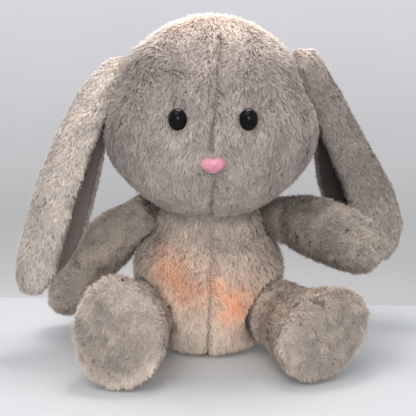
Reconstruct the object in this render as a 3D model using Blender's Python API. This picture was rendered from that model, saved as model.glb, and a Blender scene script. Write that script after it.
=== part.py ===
# A seated plush rabbit night light: stuffed head, body, arms and legs, folded lop ears, moulded
# eyes and nose, and a battery lamp module inside the belly that is reached through a flap in
# the back. Metres, +Z up, the face looks along -Y, and the seat stands on z = 0.

from math import ceil, cos, pi, radians, sin

import bmesh
import bpy
from mathutils import Matrix, Vector
from mathutils.bvhtree import BVHTree

MM = 0.001

# Clearances and fabric
FIT = 0.3 * MM
SOCKET_GAP = 1.0 * MM
SWING_GAP = 0.35 * MM
SWING_SOCKET_SIDES = 32
SKIN = 5.0 * MM
CUT_OVERRUN = 20.0 * MM
BALL_ANGLE_SHARES = (0.3, 0.6, 0.85)
BALL_TURN = radians(23.0)
SWING_STEP = radians(13.5)
SOCKET_SIDES = 20
FILLING_SOCKET_GAP = 1.6 * MM
FILLING_SOCKET_SIDES = 14
WELD_SHARE = 0.01
SHARP_ANGLE = radians(35.0)

# Body
TORSO_WIDTH = 115.0 * MM
TORSO_DEPTH = 103.0 * MM
NECK_HEIGHT = 92.0 * MM
NECK_RADIUS = 43.0 * MM
NECK_OPENING_RADIUS = 14.0 * MM
# Height, half width and half depth of each body section
TORSO_SECTION_SHARES = (
    (0.00, 0.58, 0.62),
    (0.03, 0.67, 0.72),
    (0.12, 0.76, 0.84),
    (0.29, 0.87, 0.94),
    (0.46, 0.96, 0.99),
    (0.63, 1.00, 1.00),
    (0.77, 0.96, 0.96),
    (0.89, 0.87, 0.90),
)
NECK_DOME_ANGLE_SHARES = (0.0, 0.2, 0.4, 0.6, 0.8)
TORSO_SIDES = 20
NECK_SIDES = 20

# Head
HEAD_WIDTH = 156.0 * MM
HEAD_HEIGHT = 142.0 * MM
HEAD_FRONT_DEPTH = 74.0 * MM
HEAD_BACK_DEPTH = 69.0 * MM
HEAD_FORWARD = 12.0 * MM
HEAD_ABOVE_NECK_CENTRE = 15.0 * MM
HEAD_SIDE_SHIFT = 1.0 * MM
# Height, half width, front and back of each head section
HEAD_SECTION_SHARES = (
    (0.015, 0.32, 0.44, 0.26),
    (0.05, 0.49, 0.66, 0.47),
    (0.11, 0.65, 0.82, 0.66),
    (0.18, 0.79, 0.92, 0.79),
    (0.26, 0.91, 0.98, 0.90),
    (0.35, 0.98, 1.00, 0.97),
    (0.44, 1.00, 0.985, 1.00),
    (0.53, 0.96, 0.93, 1.00),
    (0.63, 0.88, 0.86, 0.96),
    (0.73, 0.81, 0.74, 0.89),
    (0.82, 0.715, 0.61, 0.78),
    (0.895, 0.56, 0.47, 0.62),
    (0.95, 0.38, 0.33, 0.43),
    (0.985, 0.20, 0.17, 0.24),
)
HEAD_SIDES = 20
HEAD_SQUARENESS = 2.2
HEAD_TILT = radians(5.0)

# Eyes and nose
EYE_RADIUS = 7.0 * MM
EYE_DOME = 5.0 * MM
EYE_SEAT_DEPTH = 1.6 * MM
EYE_HALF_SPACING = 23.3 * MM
EYE_SIDE_SHIFT = 2.7 * MM
EYE_RISE = 72.0 * MM
EYE_RIM = 0.8 * MM
EYE_DOME_STEPS = 3
EYE_SIDES = 14
FITTING_SIDES = 12
SHANK_RADIUS = 2.2 * MM
SHANK_LENGTH = 14.0 * MM
WASHER_RADIUS = 7.0 * MM
WASHER_THICKNESS = 1.8 * MM
WASHER_BACKSET = 2.0 * MM
NOSE_WIDTH = 16.5 * MM
NOSE_HEIGHT = 11.5 * MM
NOSE_DOME = 4.0 * MM
NOSE_SEAT_DEPTH = 1.6 * MM
NOSE_RISE = 43.0 * MM
NOSE_SIDE_SHIFT = 2.5 * MM
NOSE_SIDES = 20
NOSE_TOP_POWER = 0.7
NOSE_TOP_SHARE = 1.0
NOSE_DIP_SHARE = 0.22
NOSE_DIP_POWER = 4
# Outline size and rise of each section of the nose
NOSE_RISE_SHARES = ((1.0, 0.0), (0.99, 0.4), (0.88, 0.72), (0.6, 0.93))

# Arms
SHOULDER_RADIUS = 15.5 * MM
SHOULDER_HEIGHT = 100.0 * MM
SHOULDER_STANDOFF = 8.5 * MM
SHOULDER_BEARING = radians(90.0)
ARM_LENGTH = 110.0 * MM
ARM_RADIUS = 23.5 * MM
ARM_SIDES = 12
ARM_HOLE_RADIUS = 6.0 * MM
ARM_DEPTH_SHARE = 0.94
# Distance along the arm and radius at each section after the shoulder ball
ARM_SECTION_SHARES = (
    (0.10, 0.76),
    (0.24, 0.94),
    (0.42, 1.00),
    (0.60, 0.98),
    (0.76, 0.90),
    (0.88, 0.76),
    (0.96, 0.50),
)
# Where the middle and the tip of each arm lie from its shoulder: outward, forward and up
LEFT_ARM_MID_SHARES = (0.36, -0.20, -0.235)
LEFT_ARM_TIP_SHARES = (0.65, -0.19, -0.75)
RIGHT_ARM_MID_SHARES = (0.38, 0.25, -0.04)
RIGHT_ARM_TIP_SHARES = (0.65, 0.38, -0.225)
LEFT_ARM_FULLNESS_SHARE = 0.94
RIGHT_ARM_FULLNESS_SHARE = 1.02
LEFT_ARM_UP = radians(30.0)
RIGHT_ARM_UP = radians(12.0)
ARM_DOWN = radians(10.0)

# Legs
HIP_RADIUS = 25.0 * MM
HIP_HEIGHT = 31.0 * MM
HIP_STANDOFF = 7.0 * MM
HIP_BEARING = radians(62.0)
LEG_LENGTH = 71.0 * MM
FOOT_LENGTH = 77.0 * MM
FOOT_WIDTH = 62.0 * MM
LEG_SIDES = 14
# Distance along the leg and the half length and half width of the foot at each section
LEG_SECTION_SHARES = (
    (0.20, 0.62, 0.76),
    (0.42, 0.71, 0.77),
    (0.60, 0.84, 0.85),
    (0.76, 0.95, 0.94),
    (0.88, 1.00, 1.00),
    (0.96, 0.97, 0.96),
)
SOLE_THICKNESS = 4.0 * MM
SOLE_CROWN = 2.0 * MM
SOLE_RISE_SHARES = ((0.0, 1.0), (0.35, 0.99), (0.75, 0.90), (1.0, 0.68))
FOOT_EGG_SHARE = 0.10
# Where each foot's sole lies from its hip: outward, forward and up
LEFT_SOLE_SHARES = (0.145, 0.98, 0.12)
RIGHT_SOLE_SHARES = (0.42, 0.75, 0.045)
LEFT_FOOT_ROLL = radians(4.0)
RIGHT_FOOT_ROLL = radians(66.0)
LEG_UP = radians(12.0)
LEG_DOWN = radians(15.0)

# Ears
EAR_REACH = 82.0 * MM
EAR_DROP = 174.0 * MM
EAR_WIDTH = 46.0 * MM
EAR_FUR = 5.5 * MM
EAR_LINING = 2.2 * MM
EAR_LAYER_GAP = 0.8 * MM
EAR_ROOT_RISE = 114.0 * MM
EAR_ROOT_Y = -10.0 * MM
EAR_LIFT = radians(100.0)
EAR_ROOT_DEPTH = 14.0 * MM
EAR_CURVE_POINTS = 9
EAR_FRAME_SPAN = 2
EAR_ROOT_SIDE_SHARE = 0.73
# Reach, drop, place along Y, half width and the depths of the front and rear folds
LEFT_EAR_SHARES = (
    (0.00, 0.000, 0.00, 0.46, 0.50, 0.46),
    (0.20, 0.030, -0.06, 0.62, 0.54, 0.52),
    (0.42, 0.140, -0.18, 0.80, 0.56, 0.58),
    (0.61, 0.305, -0.34, 0.94, 0.56, 0.68),
    (0.77, 0.490, -0.48, 1.00, 0.60, 0.80),
    (0.90, 0.680, -0.52, 1.00, 0.62, 0.82),
    (0.99, 0.830, -0.52, 0.94, 0.62, 0.74),
    (1.01, 0.915, -0.52, 0.74, 0.48, 0.52),
    (0.98, 0.970, -0.52, 0.46, 0.30, 0.32),
)
RIGHT_EAR_SHARES = (
    (0.00, -0.015, 0.00, 0.46, 0.50, 0.46),
    (0.24, -0.015, 0.06, 0.62, 0.54, 0.52),
    (0.47, 0.140, 0.24, 0.80, 0.56, 0.58),
    (0.68, 0.305, 0.44, 0.94, 0.58, 0.74),
    (0.88, 0.450, 0.70, 1.00, 0.66, 0.96),
    (1.07, 0.595, 0.80, 1.00, 0.76, 1.10),
    (1.18, 0.750, 0.80, 0.96, 0.74, 1.00),
    (1.14, 0.850, 0.80, 0.78, 0.56, 0.66),
    (1.05, 0.915, 0.80, 0.48, 0.36, 0.40),
)

# Tail
TAIL_RADIUS = 12.5 * MM
TAIL_CLEARANCE = 0.6 * MM
TAIL_SIDES = 14
TAIL_OUT_SHARE = 0.5

# Back opening and its flap
OPENING_WIDTH = 39.0 * MM
OPENING_CORNER = 1.8 * MM
PATCH_START = 18.0 * MM
OPENING_BOTTOM = 34.0 * MM
OPENING_HEIGHT = 60.0 * MM
FLAP_MARGIN = 6.5 * MM
FLAP_THICKNESS = 2.4 * MM
TAPE_THICKNESS = 0.9 * MM
TAPE_HEIGHT = 5.0 * MM
TAPE_INSET = 1.0 * MM

# Battery module, built in its own leaning frame: X across, Y towards the back, Z along the cells
CELL_RADIUS = 5.25 * MM
CELL_LENGTH = 43.7 * MM
CELL_NUB_RADIUS = 1.9 * MM
CELL_NUB_HEIGHT = 0.8 * MM
CELL_SIDES = 12
CELL_COUNT = 3
CELL_GAP = 0.4 * MM
CELL_BEVEL = 0.5 * MM
CELL_END_SHARE = 0.9
CASE_WALL = 1.5 * MM
CONTACT_THICKNESS = 0.5 * MM
SPRING_HEIGHT = 2.6 * MM
SPRING_WIRE = 0.5 * MM
SPRING_TURNS = 3
SPRING_TURN_POINTS = 6
SPRING_BASE_RADIUS = 3.2 * MM
SPRING_TOP_RADIUS = 1.9 * MM
SCREW_BLOCK = 6.0 * MM
SCREW_RADIUS = 1.2 * MM
SCREW_LENGTH = 7.0 * MM
SCREW_HEAD_RADIUS = 2.3 * MM
SCREW_HEAD_HEIGHT = 1.2 * MM
SCREW_SIDES = 10
SCREW_CROWN_SHARE = 0.75
DOOR_THICKNESS = 1.5 * MM
MODULE_SETBACK = 10.9 * MM
MODULE_ABOVE_OPENING = 1.5 * MM
MODULE_LEAN = radians(7.0)
MODULE_CLEARANCE = 0.6 * MM

# Lamp behind the belly
LAMP_WIDTH = 66.0 * MM
LAMP_HEIGHT = 47.0 * MM
LAMP_DEPTH = 10.0 * MM
LAMP_DOME = 9.0 * MM
LAMP_WALL = 1.5 * MM
LAMP_RISE_SHARE = 0.641
LAMP_SETBACK = 13.6 * MM
LAMP_SIDES = 20
DOME_ANGLE_SHARES = (0.0, 0.25, 0.5, 0.75, 1.0)
POST_PLACE_SHARE = 0.30
POST_RADIUS = 1.8 * MM
BOARD_THICKNESS = 1.6 * MM
BOARD_SETBACK = 3.6 * MM
LED_RADIUS = 1.5 * MM
LED_FLANGE_RADIUS = 1.9 * MM
LED_FLANGE = 0.7 * MM
LED_HEIGHT = 3.4 * MM
LED_SIDES = 10
LED_DOME_SHARES = (0.0, 0.45, 0.8)
# Places of the light-emitting diodes on the board, from its centre
LED_PLACE_SHARES = ((-0.70, 0.38), (-0.42, -0.34), (0.36, 0.30), (0.42, -0.55), (0.72, -0.32))
SWITCH_SIDE = 6.0 * MM
SWITCH_HEIGHT = 3.4 * MM
PLUNGER_RADIUS = 1.6 * MM
PLUNGER_HEIGHT = 0.6 * MM
BUTTON_RADIUS = 6.0 * MM
BUTTON_TRAVEL = 1.5 * MM
BUTTON_STANDOUT = 2.0 * MM
BUTTON_FLANGE = 1.2 * MM
BUTTON_STEM_RADIUS = 2.0 * MM
BUTTON_SIDES = 16
BUTTON_CROWN_SHARE = 0.9
LEAD_RADIUS = 0.7 * MM
LEAD_HALF_SPACING = 4.0 * MM
LEAD_BORE_CLEARANCE = 0.4 * MM
LEAD_POINTS = 14
LEAD_BOW = 0.8 * MM
LEAD_SIDES = 4
WIRE_RESOLUTION = 1

PLUSH = ((0.42, 0.37, 0.33), 0.95)
PLUSH_DARK = ((0.24, 0.21, 0.19), 0.95)
LINING = ((0.19, 0.145, 0.14), 0.9)
STUFFING = ((0.85, 0.85, 0.83), 0.95)
BLACK_GLOSS = ((0.01, 0.01, 0.012), 0.08)
PINK = ((0.8, 0.3, 0.36), 0.45)
CLEAR_WASHER = ((0.8, 0.8, 0.78), 0.4)
WHITE_PLASTIC = ((0.8, 0.8, 0.78), 0.4)
FROSTED = ((0.9, 0.86, 0.78), 0.5)
BOARD_GREEN = ((0.02, 0.18, 0.06), 0.5)
LED_AMBER = ((1.0, 0.35, 0.08), 0.2)
CELL_GREEN = ((0.05, 0.25, 0.1), 0.35)
STEEL = ((0.6, 0.6, 0.6), 0.3)
TAPE_GREY = ((0.3, 0.28, 0.27), 0.9)
RED_WIRE = ((0.6, 0.02, 0.02), 0.4)
BLACK_WIRE = ((0.02, 0.02, 0.02), 0.4)
SWITCH_BLACK = ((0.03, 0.03, 0.03), 0.5)

X_AXIS = Vector((1, 0, 0))
Y_AXIS = Vector((0, 1, 0))
Z_AXIS = Vector((0, 0, 1))
LEFT = -1
RIGHT = 1


def clear_scene():
    """Removes whatever the file opened with."""
    for old in list(bpy.data.objects):
        bpy.data.objects.remove(old, do_unlink=True)


def surface(name, finish, metallic=0.0):
    """A plain material for one sub-part."""
    colour, roughness = finish
    made = bpy.data.materials.new(name)
    made.use_nodes = True
    shader = made.node_tree.nodes["Principled BSDF"]
    shader.inputs["Base Color"].default_value = (*colour, 1)
    shader.inputs["Roughness"].default_value = roughness
    shader.inputs["Metallic"].default_value = metallic
    return made


def helper(bm, name="helper"):
    """A working object that later cuts or joins others."""
    bmesh.ops.recalc_face_normals(bm, faces=bm.faces)
    mesh = bpy.data.meshes.new(name)
    bm.to_mesh(mesh)
    bm.free()
    made = bpy.data.objects.new(name, mesh)
    made.hide_render = True
    made.display_type = "WIRE"
    bpy.context.collection.objects.link(made)
    return made


def piece(source, name, finish, metallic=0.0, parent=None, pivot=None):
    """Turns a working object into a finished sub-part, with its origin at pivot."""
    source.name = name
    source.data.name = name
    source.hide_render = False
    source.display_type = "TEXTURED"
    bpy.context.view_layer.update()
    source.data.transform(source.matrix_world)
    centre = pivot if pivot is not None else box_centre(source.data)
    source.data.transform(Matrix.Translation(-centre))
    source.matrix_world = Matrix.Translation(centre)
    if parent is not None:
        bpy.context.view_layer.update()
        source.parent = parent
        source.matrix_parent_inverse = parent.matrix_world.inverted()
    source.data.materials.clear()
    source.data.materials.append(surface(name, finish, metallic))
    source.data.shade_smooth()
    source.data.set_sharp_from_angle(angle=SHARP_ANGLE)
    return source


def box_centre(mesh):
    """The middle of a mesh's box."""
    low = Vector([min(v.co[i] for v in mesh.vertices) for i in range(3)])
    high = Vector([max(v.co[i] for v in mesh.vertices) for i in range(3)])
    return (low + high) / 2


def combine(base, others, operation="DIFFERENCE", solver="EXACT"):
    """Cuts base with the others, or joins them to it, and removes them."""
    for other in others:
        change = base.modifiers.new("combine", "BOOLEAN")
        change.operation = operation
        change.solver = solver
        change.object = other
    bpy.context.view_layer.update()
    graph = bpy.context.evaluated_depsgraph_get()
    mesh = bpy.data.meshes.new_from_object(base.evaluated_get(graph))
    base.modifiers.clear()
    base.data = mesh
    for other in others:
        bpy.data.objects.remove(other, do_unlink=True)
    return base


def copy_of(source, turn=None):
    """A working copy, moved by the matrix turn."""
    made = bpy.data.objects.new(source.name, source.data.copy())
    made.matrix_world = turn @ source.matrix_world if turn else source.matrix_world.copy()
    made.hide_render = True
    made.display_type = "WIRE"
    bpy.context.collection.objects.link(made)
    return made


def turn_about(point, axis, angle):
    """The matrix of a turn about an axis through a point."""
    there = Matrix.Translation(point)
    return there @ Matrix.Rotation(angle, 4, axis) @ there.inverted()


def loft(rings, start_pole=None, end_pole=None, closed=False):
    """A closed skin over rings of points, with a pole or a flat face at each end."""
    bm = bmesh.new()
    loops = [[bm.verts.new(p) for p in ring] for ring in rings]
    pairs = list(zip(loops, loops[1:]))
    if closed:
        pairs.append((loops[-1], loops[0]))
    for lower, upper in pairs:
        for i in range(len(lower)):
            j = (i + 1) % len(lower)
            bm.faces.new((lower[i], lower[j], upper[j], upper[i]))
    if not closed:
        for loop, pole in ((loops[0], start_pole), (loops[-1], end_pole)):
            if pole is None:
                bm.faces.new(loop)
                continue
            tip = bm.verts.new(pole)
            for i in range(len(loop)):
                bm.faces.new((loop[i], loop[(i + 1) % len(loop)], tip))
    return bm


def power(value, squareness):
    """A sine or cosine bent towards a squarer oval."""
    size = abs(value) ** (2 / squareness)
    return size if value >= 0 else -size


def oval(centre, right, up, half_width, up_size, down_size, sides, squareness=2, egg=0):
    """Points of an oval whose upper and lower halves may differ."""
    points = []
    for i in range(sides):
        angle = 2 * pi * i / sides
        across = power(cos(angle), squareness) * half_width * (1 - egg * sin(angle))
        rise = power(sin(angle), squareness)
        points.append(centre + right * across + up * rise * (up_size if rise > 0 else down_size))
    return points


def turned(profile, sides, base=Vector(), axis=Z_AXIS, pole=None, closed=False):
    """A turned solid from (radius, height) pairs, with a flat or pointed top, or a closed ring."""
    right = Matrix.Rotation(pi / sides, 3, axis) @ axis.orthogonal().normalized()
    up = axis.cross(right)
    rings = [oval(base + axis * h, right, up, r, r, r, sides) for r, h in profile]
    tip = None if pole is None else base + axis * pole
    return helper(loft(rings, end_pole=tip, closed=closed))


def ball(centre, radius, sides):
    """A faceted ball."""
    bm = bmesh.new()
    turn = Matrix.Rotation(BALL_TURN, 4, X_AXIS + Y_AXIS + Z_AXIS)
    bmesh.ops.create_uvsphere(bm, u_segments=sides, v_segments=sides // 2, radius=radius, matrix=turn)
    bmesh.ops.translate(bm, verts=bm.verts, vec=centre)
    return helper(bm)


def box(centre, size):
    """A box from its middle and its three sizes."""
    bm = bmesh.new()
    bmesh.ops.create_cube(bm, size=1)
    bmesh.ops.scale(bm, verts=bm.verts, vec=size)
    bmesh.ops.translate(bm, verts=bm.verts, vec=centre)
    return helper(bm)


def rounded_slab(centre, width, height, depth, radius, corner_points=4):
    """A slab along Y whose outline in the XZ plane has round corners."""
    outline = []
    for quarter in range(4):
        corner_x = (width / 2 - radius) * (1 if quarter in (0, 3) else -1)
        corner_z = (height / 2 - radius) * (1 if quarter in (0, 1) else -1)
        for i in range(corner_points):
            angle = pi / 2 * (quarter + i / (corner_points - 1))
            outline.append(Vector((corner_x + radius * cos(angle), 0, corner_z + radius * sin(angle))))
    rings = [[centre + p + Y_AXIS * side * depth / 2 for p in outline] for side in (-1, 1)]
    return helper(loft(rings))


def hit(target, start, direction):
    """Where a ray meets a working object's surface, and the surface's direction there."""
    bm = bmesh.new()
    bm.from_mesh(target.data)
    tree = BVHTree.FromBMesh(bm)
    place, normal, index, distance = tree.ray_cast(start, direction)
    bm.free()
    return place, normal


def torso_solid(inset):
    """The body, flat at the seat and round at the neck, drawn in by inset."""
    half_width = TORSO_WIDTH / 2 - inset
    half_depth = TORSO_DEPTH / 2 - inset
    neck = NECK_RADIUS - inset
    rings = []
    for height, width, depth in TORSO_SECTION_SHARES:
        centre = Z_AXIS * (inset + height * (NECK_HEIGHT - inset))
        depth_here = half_depth * depth
        rings.append(oval(centre, X_AXIS, Y_AXIS, half_width * width, depth_here, depth_here, TORSO_SIDES))
    for share in NECK_DOME_ANGLE_SHARES:
        angle = pi / 2 * share
        centre = Z_AXIS * (NECK_HEIGHT + neck * sin(angle))
        radius = neck * cos(angle)
        rings.append(oval(centre, X_AXIS, Y_AXIS, radius, radius, radius, TORSO_SIDES))
    return helper(loft(rings, end_pole=Z_AXIS * (NECK_HEIGHT + neck)))


def head_bottom():
    """The height of the head's lowest point."""
    return NECK_HEIGHT + HEAD_ABOVE_NECK_CENTRE


def head_solid(inset):
    """The head before the neck is cut out of it, drawn in by inset."""
    half_width = HEAD_WIDTH / 2 - inset
    front = HEAD_FRONT_DEPTH - inset
    back = HEAD_BACK_DEPTH - inset
    height = HEAD_HEIGHT - 2 * inset
    middle = Vector((HEAD_SIDE_SHIFT, -HEAD_FORWARD, head_bottom() + inset))
    rings = []
    for rise, width, ahead, behind in HEAD_SECTION_SHARES:
        rings.append(
            oval(
                middle + Z_AXIS * height * rise,
                X_AXIS,
                Y_AXIS,
                half_width * width,
                back * behind,
                front * ahead,
                HEAD_SIDES,
                HEAD_SQUARENESS,
            )
        )
    return helper(loft(rings, start_pole=middle, end_pole=middle + Z_AXIS * height))


def body_oval(height):
    """Half width and half depth of the body at a height."""
    if height >= NECK_HEIGHT:
        radius = (NECK_RADIUS**2 - (height - NECK_HEIGHT) ** 2) ** 0.5
        return radius, radius
    steps = [(rise * NECK_HEIGHT, wide, deep) for rise, wide, deep in TORSO_SECTION_SHARES]
    steps.append((NECK_HEIGHT, NECK_RADIUS * 2 / TORSO_WIDTH, NECK_RADIUS * 2 / TORSO_DEPTH))
    for (low, wide, deep), (high, next_wide, next_deep) in zip(steps, steps[1:]):
        if height <= high:
            share = (height - low) / (high - low)
            wide += (next_wide - wide) * share
            deep += (next_deep - deep) * share
            break
    return TORSO_WIDTH / 2 * wide, TORSO_DEPTH / 2 * deep


def beside_body(side, height, bearing, standoff):
    """A point a standoff outside the body, at a bearing from straight ahead."""
    half_width, half_depth = body_oval(height)
    reach = 1 / ((sin(bearing) / half_width) ** 2 + (cos(bearing) / half_depth) ** 2) ** 0.5
    direction = Vector((side * sin(bearing), -cos(bearing), 0))
    return direction * (reach + standoff) + Z_AXIS * height


def shoulder(side):
    """The middle of one shoulder ball."""
    return beside_body(side, SHOULDER_HEIGHT, SHOULDER_BEARING, SHOULDER_STANDOFF)


def hip(side):
    """The middle of one hip ball."""
    return beside_body(side, HIP_HEIGHT, HIP_BEARING, HIP_STANDOFF)


def side_vector(side, shares, length):
    """Outward, forward and upward shares as a vector on one side of the body."""
    outward, forward, upward = shares
    return Vector((side * outward, -forward, upward)) * length


def ball_start(centre, along, right, up, radius, sides):
    """The half ball that a limb starts with: its pole and its rings."""
    rings = []
    for share in BALL_ANGLE_SHARES:
        angle = pi / 2 * share
        size = radius * sin(angle)
        here = centre - along * radius * cos(angle)
        rings.append(oval(here, right, up, size, size, size, sides))
    return centre - along * radius, rings


def between(start, control, end, share):
    """A point on the bent middle line of an arm."""
    return start * (1 - share) ** 2 + control * 2 * share * (1 - share) + end * share**2


def arm_line(side):
    """The shoulder, the bend and the tip of one arm, and how full it is."""
    mid_shares = LEFT_ARM_MID_SHARES if side == LEFT else RIGHT_ARM_MID_SHARES
    tip_shares = LEFT_ARM_TIP_SHARES if side == LEFT else RIGHT_ARM_TIP_SHARES
    fullness = LEFT_ARM_FULLNESS_SHARE if side == LEFT else RIGHT_ARM_FULLNESS_SHARE
    centre = shoulder(side)
    control = centre + side_vector(side, mid_shares, ARM_LENGTH)
    tip = centre + side_vector(side, tip_shares, ARM_LENGTH)
    return centre, control, tip, fullness


def arm_solid(side, inset):
    """One arm, from the half ball at the shoulder to its round end."""
    centre, control, tip, fullness = arm_line(side)
    tip += (control - tip).normalized() * inset
    along = (control - centre).normalized()
    right = Y_AXIS.cross(along).normalized()
    radius = SHOULDER_RADIUS - inset
    pole, rings = ball_start(centre, along, right, along.cross(right), radius, ARM_SIDES)
    rings.append(oval(centre, right, along.cross(right), radius, radius, radius, ARM_SIDES))
    for share, size in ARM_SECTION_SHARES:
        here = between(centre, control, tip, share)
        along = ((control - centre) * (1 - share) + (tip - control) * share).normalized()
        right = Y_AXIS.cross(along).normalized()
        radius = ARM_RADIUS * fullness * size - inset
        depth = radius * ARM_DEPTH_SHARE
        rings.append(oval(here, right, along.cross(right), radius, depth, depth, ARM_SIDES))
    return helper(loft(rings, pole, tip))


def leg_frame(side):
    """The hip, the direction and length of the leg, and the foot's width and toe directions."""
    sole_shares = LEFT_SOLE_SHARES if side == LEFT else RIGHT_SOLE_SHARES
    roll = LEFT_FOOT_ROLL if side == LEFT else RIGHT_FOOT_ROLL
    along = side_vector(side, sole_shares, LEG_LENGTH)
    length = along.length
    along.normalize()
    right = along.cross(Z_AXIS).normalized()
    up = right.cross(along).normalized()
    turn = Matrix.Rotation(side * -roll, 3, along)
    return hip(side), along, length, turn @ right, turn @ up


def foot_ring(side, share, tall, wide, reach, inset=0):
    """One section of a leg: an egg whose narrow end is the toes."""
    centre, along, length, right, toe = leg_frame(side)
    half_length = FOOT_LENGTH / 2 * tall - inset
    half_width = FOOT_WIDTH / 2 * wide - inset
    here = centre + along * (length * share + reach)
    egg = FOOT_EGG_SHARE * share
    return oval(here, right, toe, half_width, half_length, half_length, LEG_SIDES, egg=egg)


def leg_solid(side, inset, overrun=0):
    """One leg, from the half ball at the hip to the end where the sole lies, or past it."""
    centre, along, length, right, toe = leg_frame(side)
    radius = HIP_RADIUS - inset
    pole, rings = ball_start(centre, along, right, toe, radius, LEG_SIDES)
    rings.append(oval(centre, right, toe, radius, radius, radius, LEG_SIDES))
    for share, tall, wide in LEG_SECTION_SHARES:
        rings.append(foot_ring(side, share, tall, wide, 0, inset))
    if overrun:
        rings.append(foot_ring(side, share, tall, wide, overrun, inset))
    return helper(loft(rings, pole))


def sole_pad(side):
    """The crowned panel that closes the foot, a clearance off the leg's end."""
    centre, along, length, right, toe = leg_frame(side)
    share, tall, wide = LEG_SECTION_SHARES[-1]
    rings = []
    for rise, size in SOLE_RISE_SHARES:
        rings.append(foot_ring(side, share, tall * size, wide * size, FIT + SOLE_THICKNESS * rise))
    top = centre + along * (length * share + FIT + SOLE_THICKNESS + SOLE_CROWN)
    return helper(loft(rings, end_pole=top))


def sockets(gap, sides):
    """The four balls of space in which the limbs turn."""
    made = []
    for side in (LEFT, RIGHT):
        made.append(ball(shoulder(side), SHOULDER_RADIUS + gap, sides))
        made.append(ball(hip(side), HIP_RADIUS + gap, sides))
    return made


def swing_angles(down, up):
    """Angles at even steps from one end of a swing to the other."""
    steps = ceil((down + up) / SWING_STEP)
    return [-down + (down + up) * step / steps for step in range(steps + 1)]


def clear_of(limb, obstacle, pivot, axis, angles):
    """Cuts a limb so that it clears a neighbour at each angle of its swing."""
    swept = [copy_of(obstacle, turn_about(pivot, axis, -angle)) for angle in angles]
    bpy.data.objects.remove(obstacle, do_unlink=True)
    return combine(limb, swept, solver="MANIFOLD")


def body_obstacle(outset):
    """The body, grown by outset, with room for the balls of the limbs."""
    return combine(torso_solid(-outset - SWING_GAP), sockets(SWING_GAP, SWING_SOCKET_SIDES))


def make_arm(side, word):
    """One arm's plush skin and its filling."""
    centre, control, tip, fullness = arm_line(side)
    angles = swing_angles(ARM_DOWN, LEFT_ARM_UP if side == LEFT else RIGHT_ARM_UP)
    tilt = turn_about(Z_AXIS * NECK_HEIGHT, Y_AXIS, side * HEAD_TILT)
    layers = []
    for inset in (0, SKIN, SKIN + FIT):
        solid = arm_solid(side, inset)
        clear_of(solid, body_obstacle(inset), centre, Y_AXIS * -side, angles)
        head = head_solid(-inset - SWING_GAP)
        head.data.transform(tilt)
        layers.append(clear_of(solid, head, centre, Y_AXIS * -side, angles))
    outer, inner, filling = layers
    along = (control - centre).normalized()
    profile = ((ARM_HOLE_RADIUS, -SHOULDER_RADIUS - CUT_OVERRUN), (ARM_HOLE_RADIUS, 0))
    hole = turned(profile, ARM_SIDES, centre, along)
    combine(outer, [inner, hole])
    piece(outer, f"arm_skin_{word}", PLUSH_DARK, pivot=centre)
    piece(filling, f"arm_filling_{word}", STUFFING, parent=outer)


def make_leg(side, word):
    """One leg's plush skin, its filling and the sole panel."""
    centre = hip(side)
    layers = []
    for inset, overrun in ((0, 0), (SKIN, CUT_OVERRUN), (SKIN + FIT * 2, 0)):
        solid = leg_solid(side, inset, overrun)
        angles = swing_angles(LEG_DOWN, LEG_UP)
        layers.append(clear_of(solid, body_obstacle(inset), centre, -X_AXIS, angles))
    outer, inner, filling = layers
    combine(outer, [inner])
    piece(outer, f"leg_skin_{word}", PLUSH, pivot=centre)
    piece(filling, f"leg_filling_{word}", STUFFING, parent=outer)
    piece(sole_pad(side), f"sole_{word}", PLUSH, parent=outer)


def ear_stations(side):
    """Crest points of one ear, with where it lies along Y and how it is folded."""
    shares = LEFT_EAR_SHARES if side == LEFT else RIGHT_EAR_SHARES
    root_x = side * HEAD_WIDTH / 2 * EAR_ROOT_SIDE_SHARE
    root = Vector((root_x, EAR_ROOT_Y, head_bottom() + EAR_ROOT_RISE))
    stations = []
    for reach, drop, along_y, wide, front, rear in shares:
        offset = Vector((side * reach * EAR_REACH, along_y * EAR_WIDTH, -drop * EAR_DROP))
        sizes = (wide * EAR_WIDTH / 2, front * EAR_WIDTH, rear * EAR_WIDTH)
        stations.append((root + offset, *sizes))
    return stations


def ear_layer(side, outer, inner):
    """One layer of an ear, between two depths under the fold's outside."""
    stations = ear_stations(side)
    crests = [station[0] for station in stations]
    rings = []
    for index, (crest, half_width, front, rear) in enumerate(stations):
        before = crests[max(index - EAR_FRAME_SPAN, 0)]
        after = crests[min(index + EAR_FRAME_SPAN, len(crests) - 1)]
        along = (after - before).normalized()
        inward = Y_AXIS.cross(along).normalized() * side
        layers = []
        for depth in (outer, inner):
            line = []
            for step in range(EAR_CURVE_POINTS):
                angle = pi / 2 * (2 * step / (EAR_CURVE_POINTS - 1) - 1)
                fold = (front if angle < 0 else rear) - depth
                bend = sin(angle) * (half_width - depth)
                line.append(crest + Y_AXIS * bend + inward * (depth + fold * (1 - cos(angle))))
            layers.append(line)
        rings.append(layers[0] + layers[1][::-1])
    return rings


def ear_root_start(rings, side):
    """Adds a first section inside the head, for the head to cut."""
    shift = Vector((-side * EAR_ROOT_DEPTH, 0, 0))
    return [[point + shift for point in rings[0]], *rings]


def make_ear(side, word, pivot):
    """One folded ear: its fur panel and its smooth lining."""
    fur = helper(loft(ear_root_start(ear_layer(side, 0, EAR_FUR), side)))
    lining_depth = EAR_FUR + EAR_LAYER_GAP
    lining = helper(loft(ear_root_start(ear_layer(side, lining_depth, lining_depth + EAR_LINING), side)))
    for layer in (fur, lining):
        clear_of(layer, head_solid(-FIT), pivot, Y_AXIS * -side, swing_angles(0, EAR_LIFT))
    piece(fur, f"ear_fur_{word}", PLUSH, pivot=pivot)
    piece(lining, f"ear_lining_{word}", LINING, parent=fur)


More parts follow.
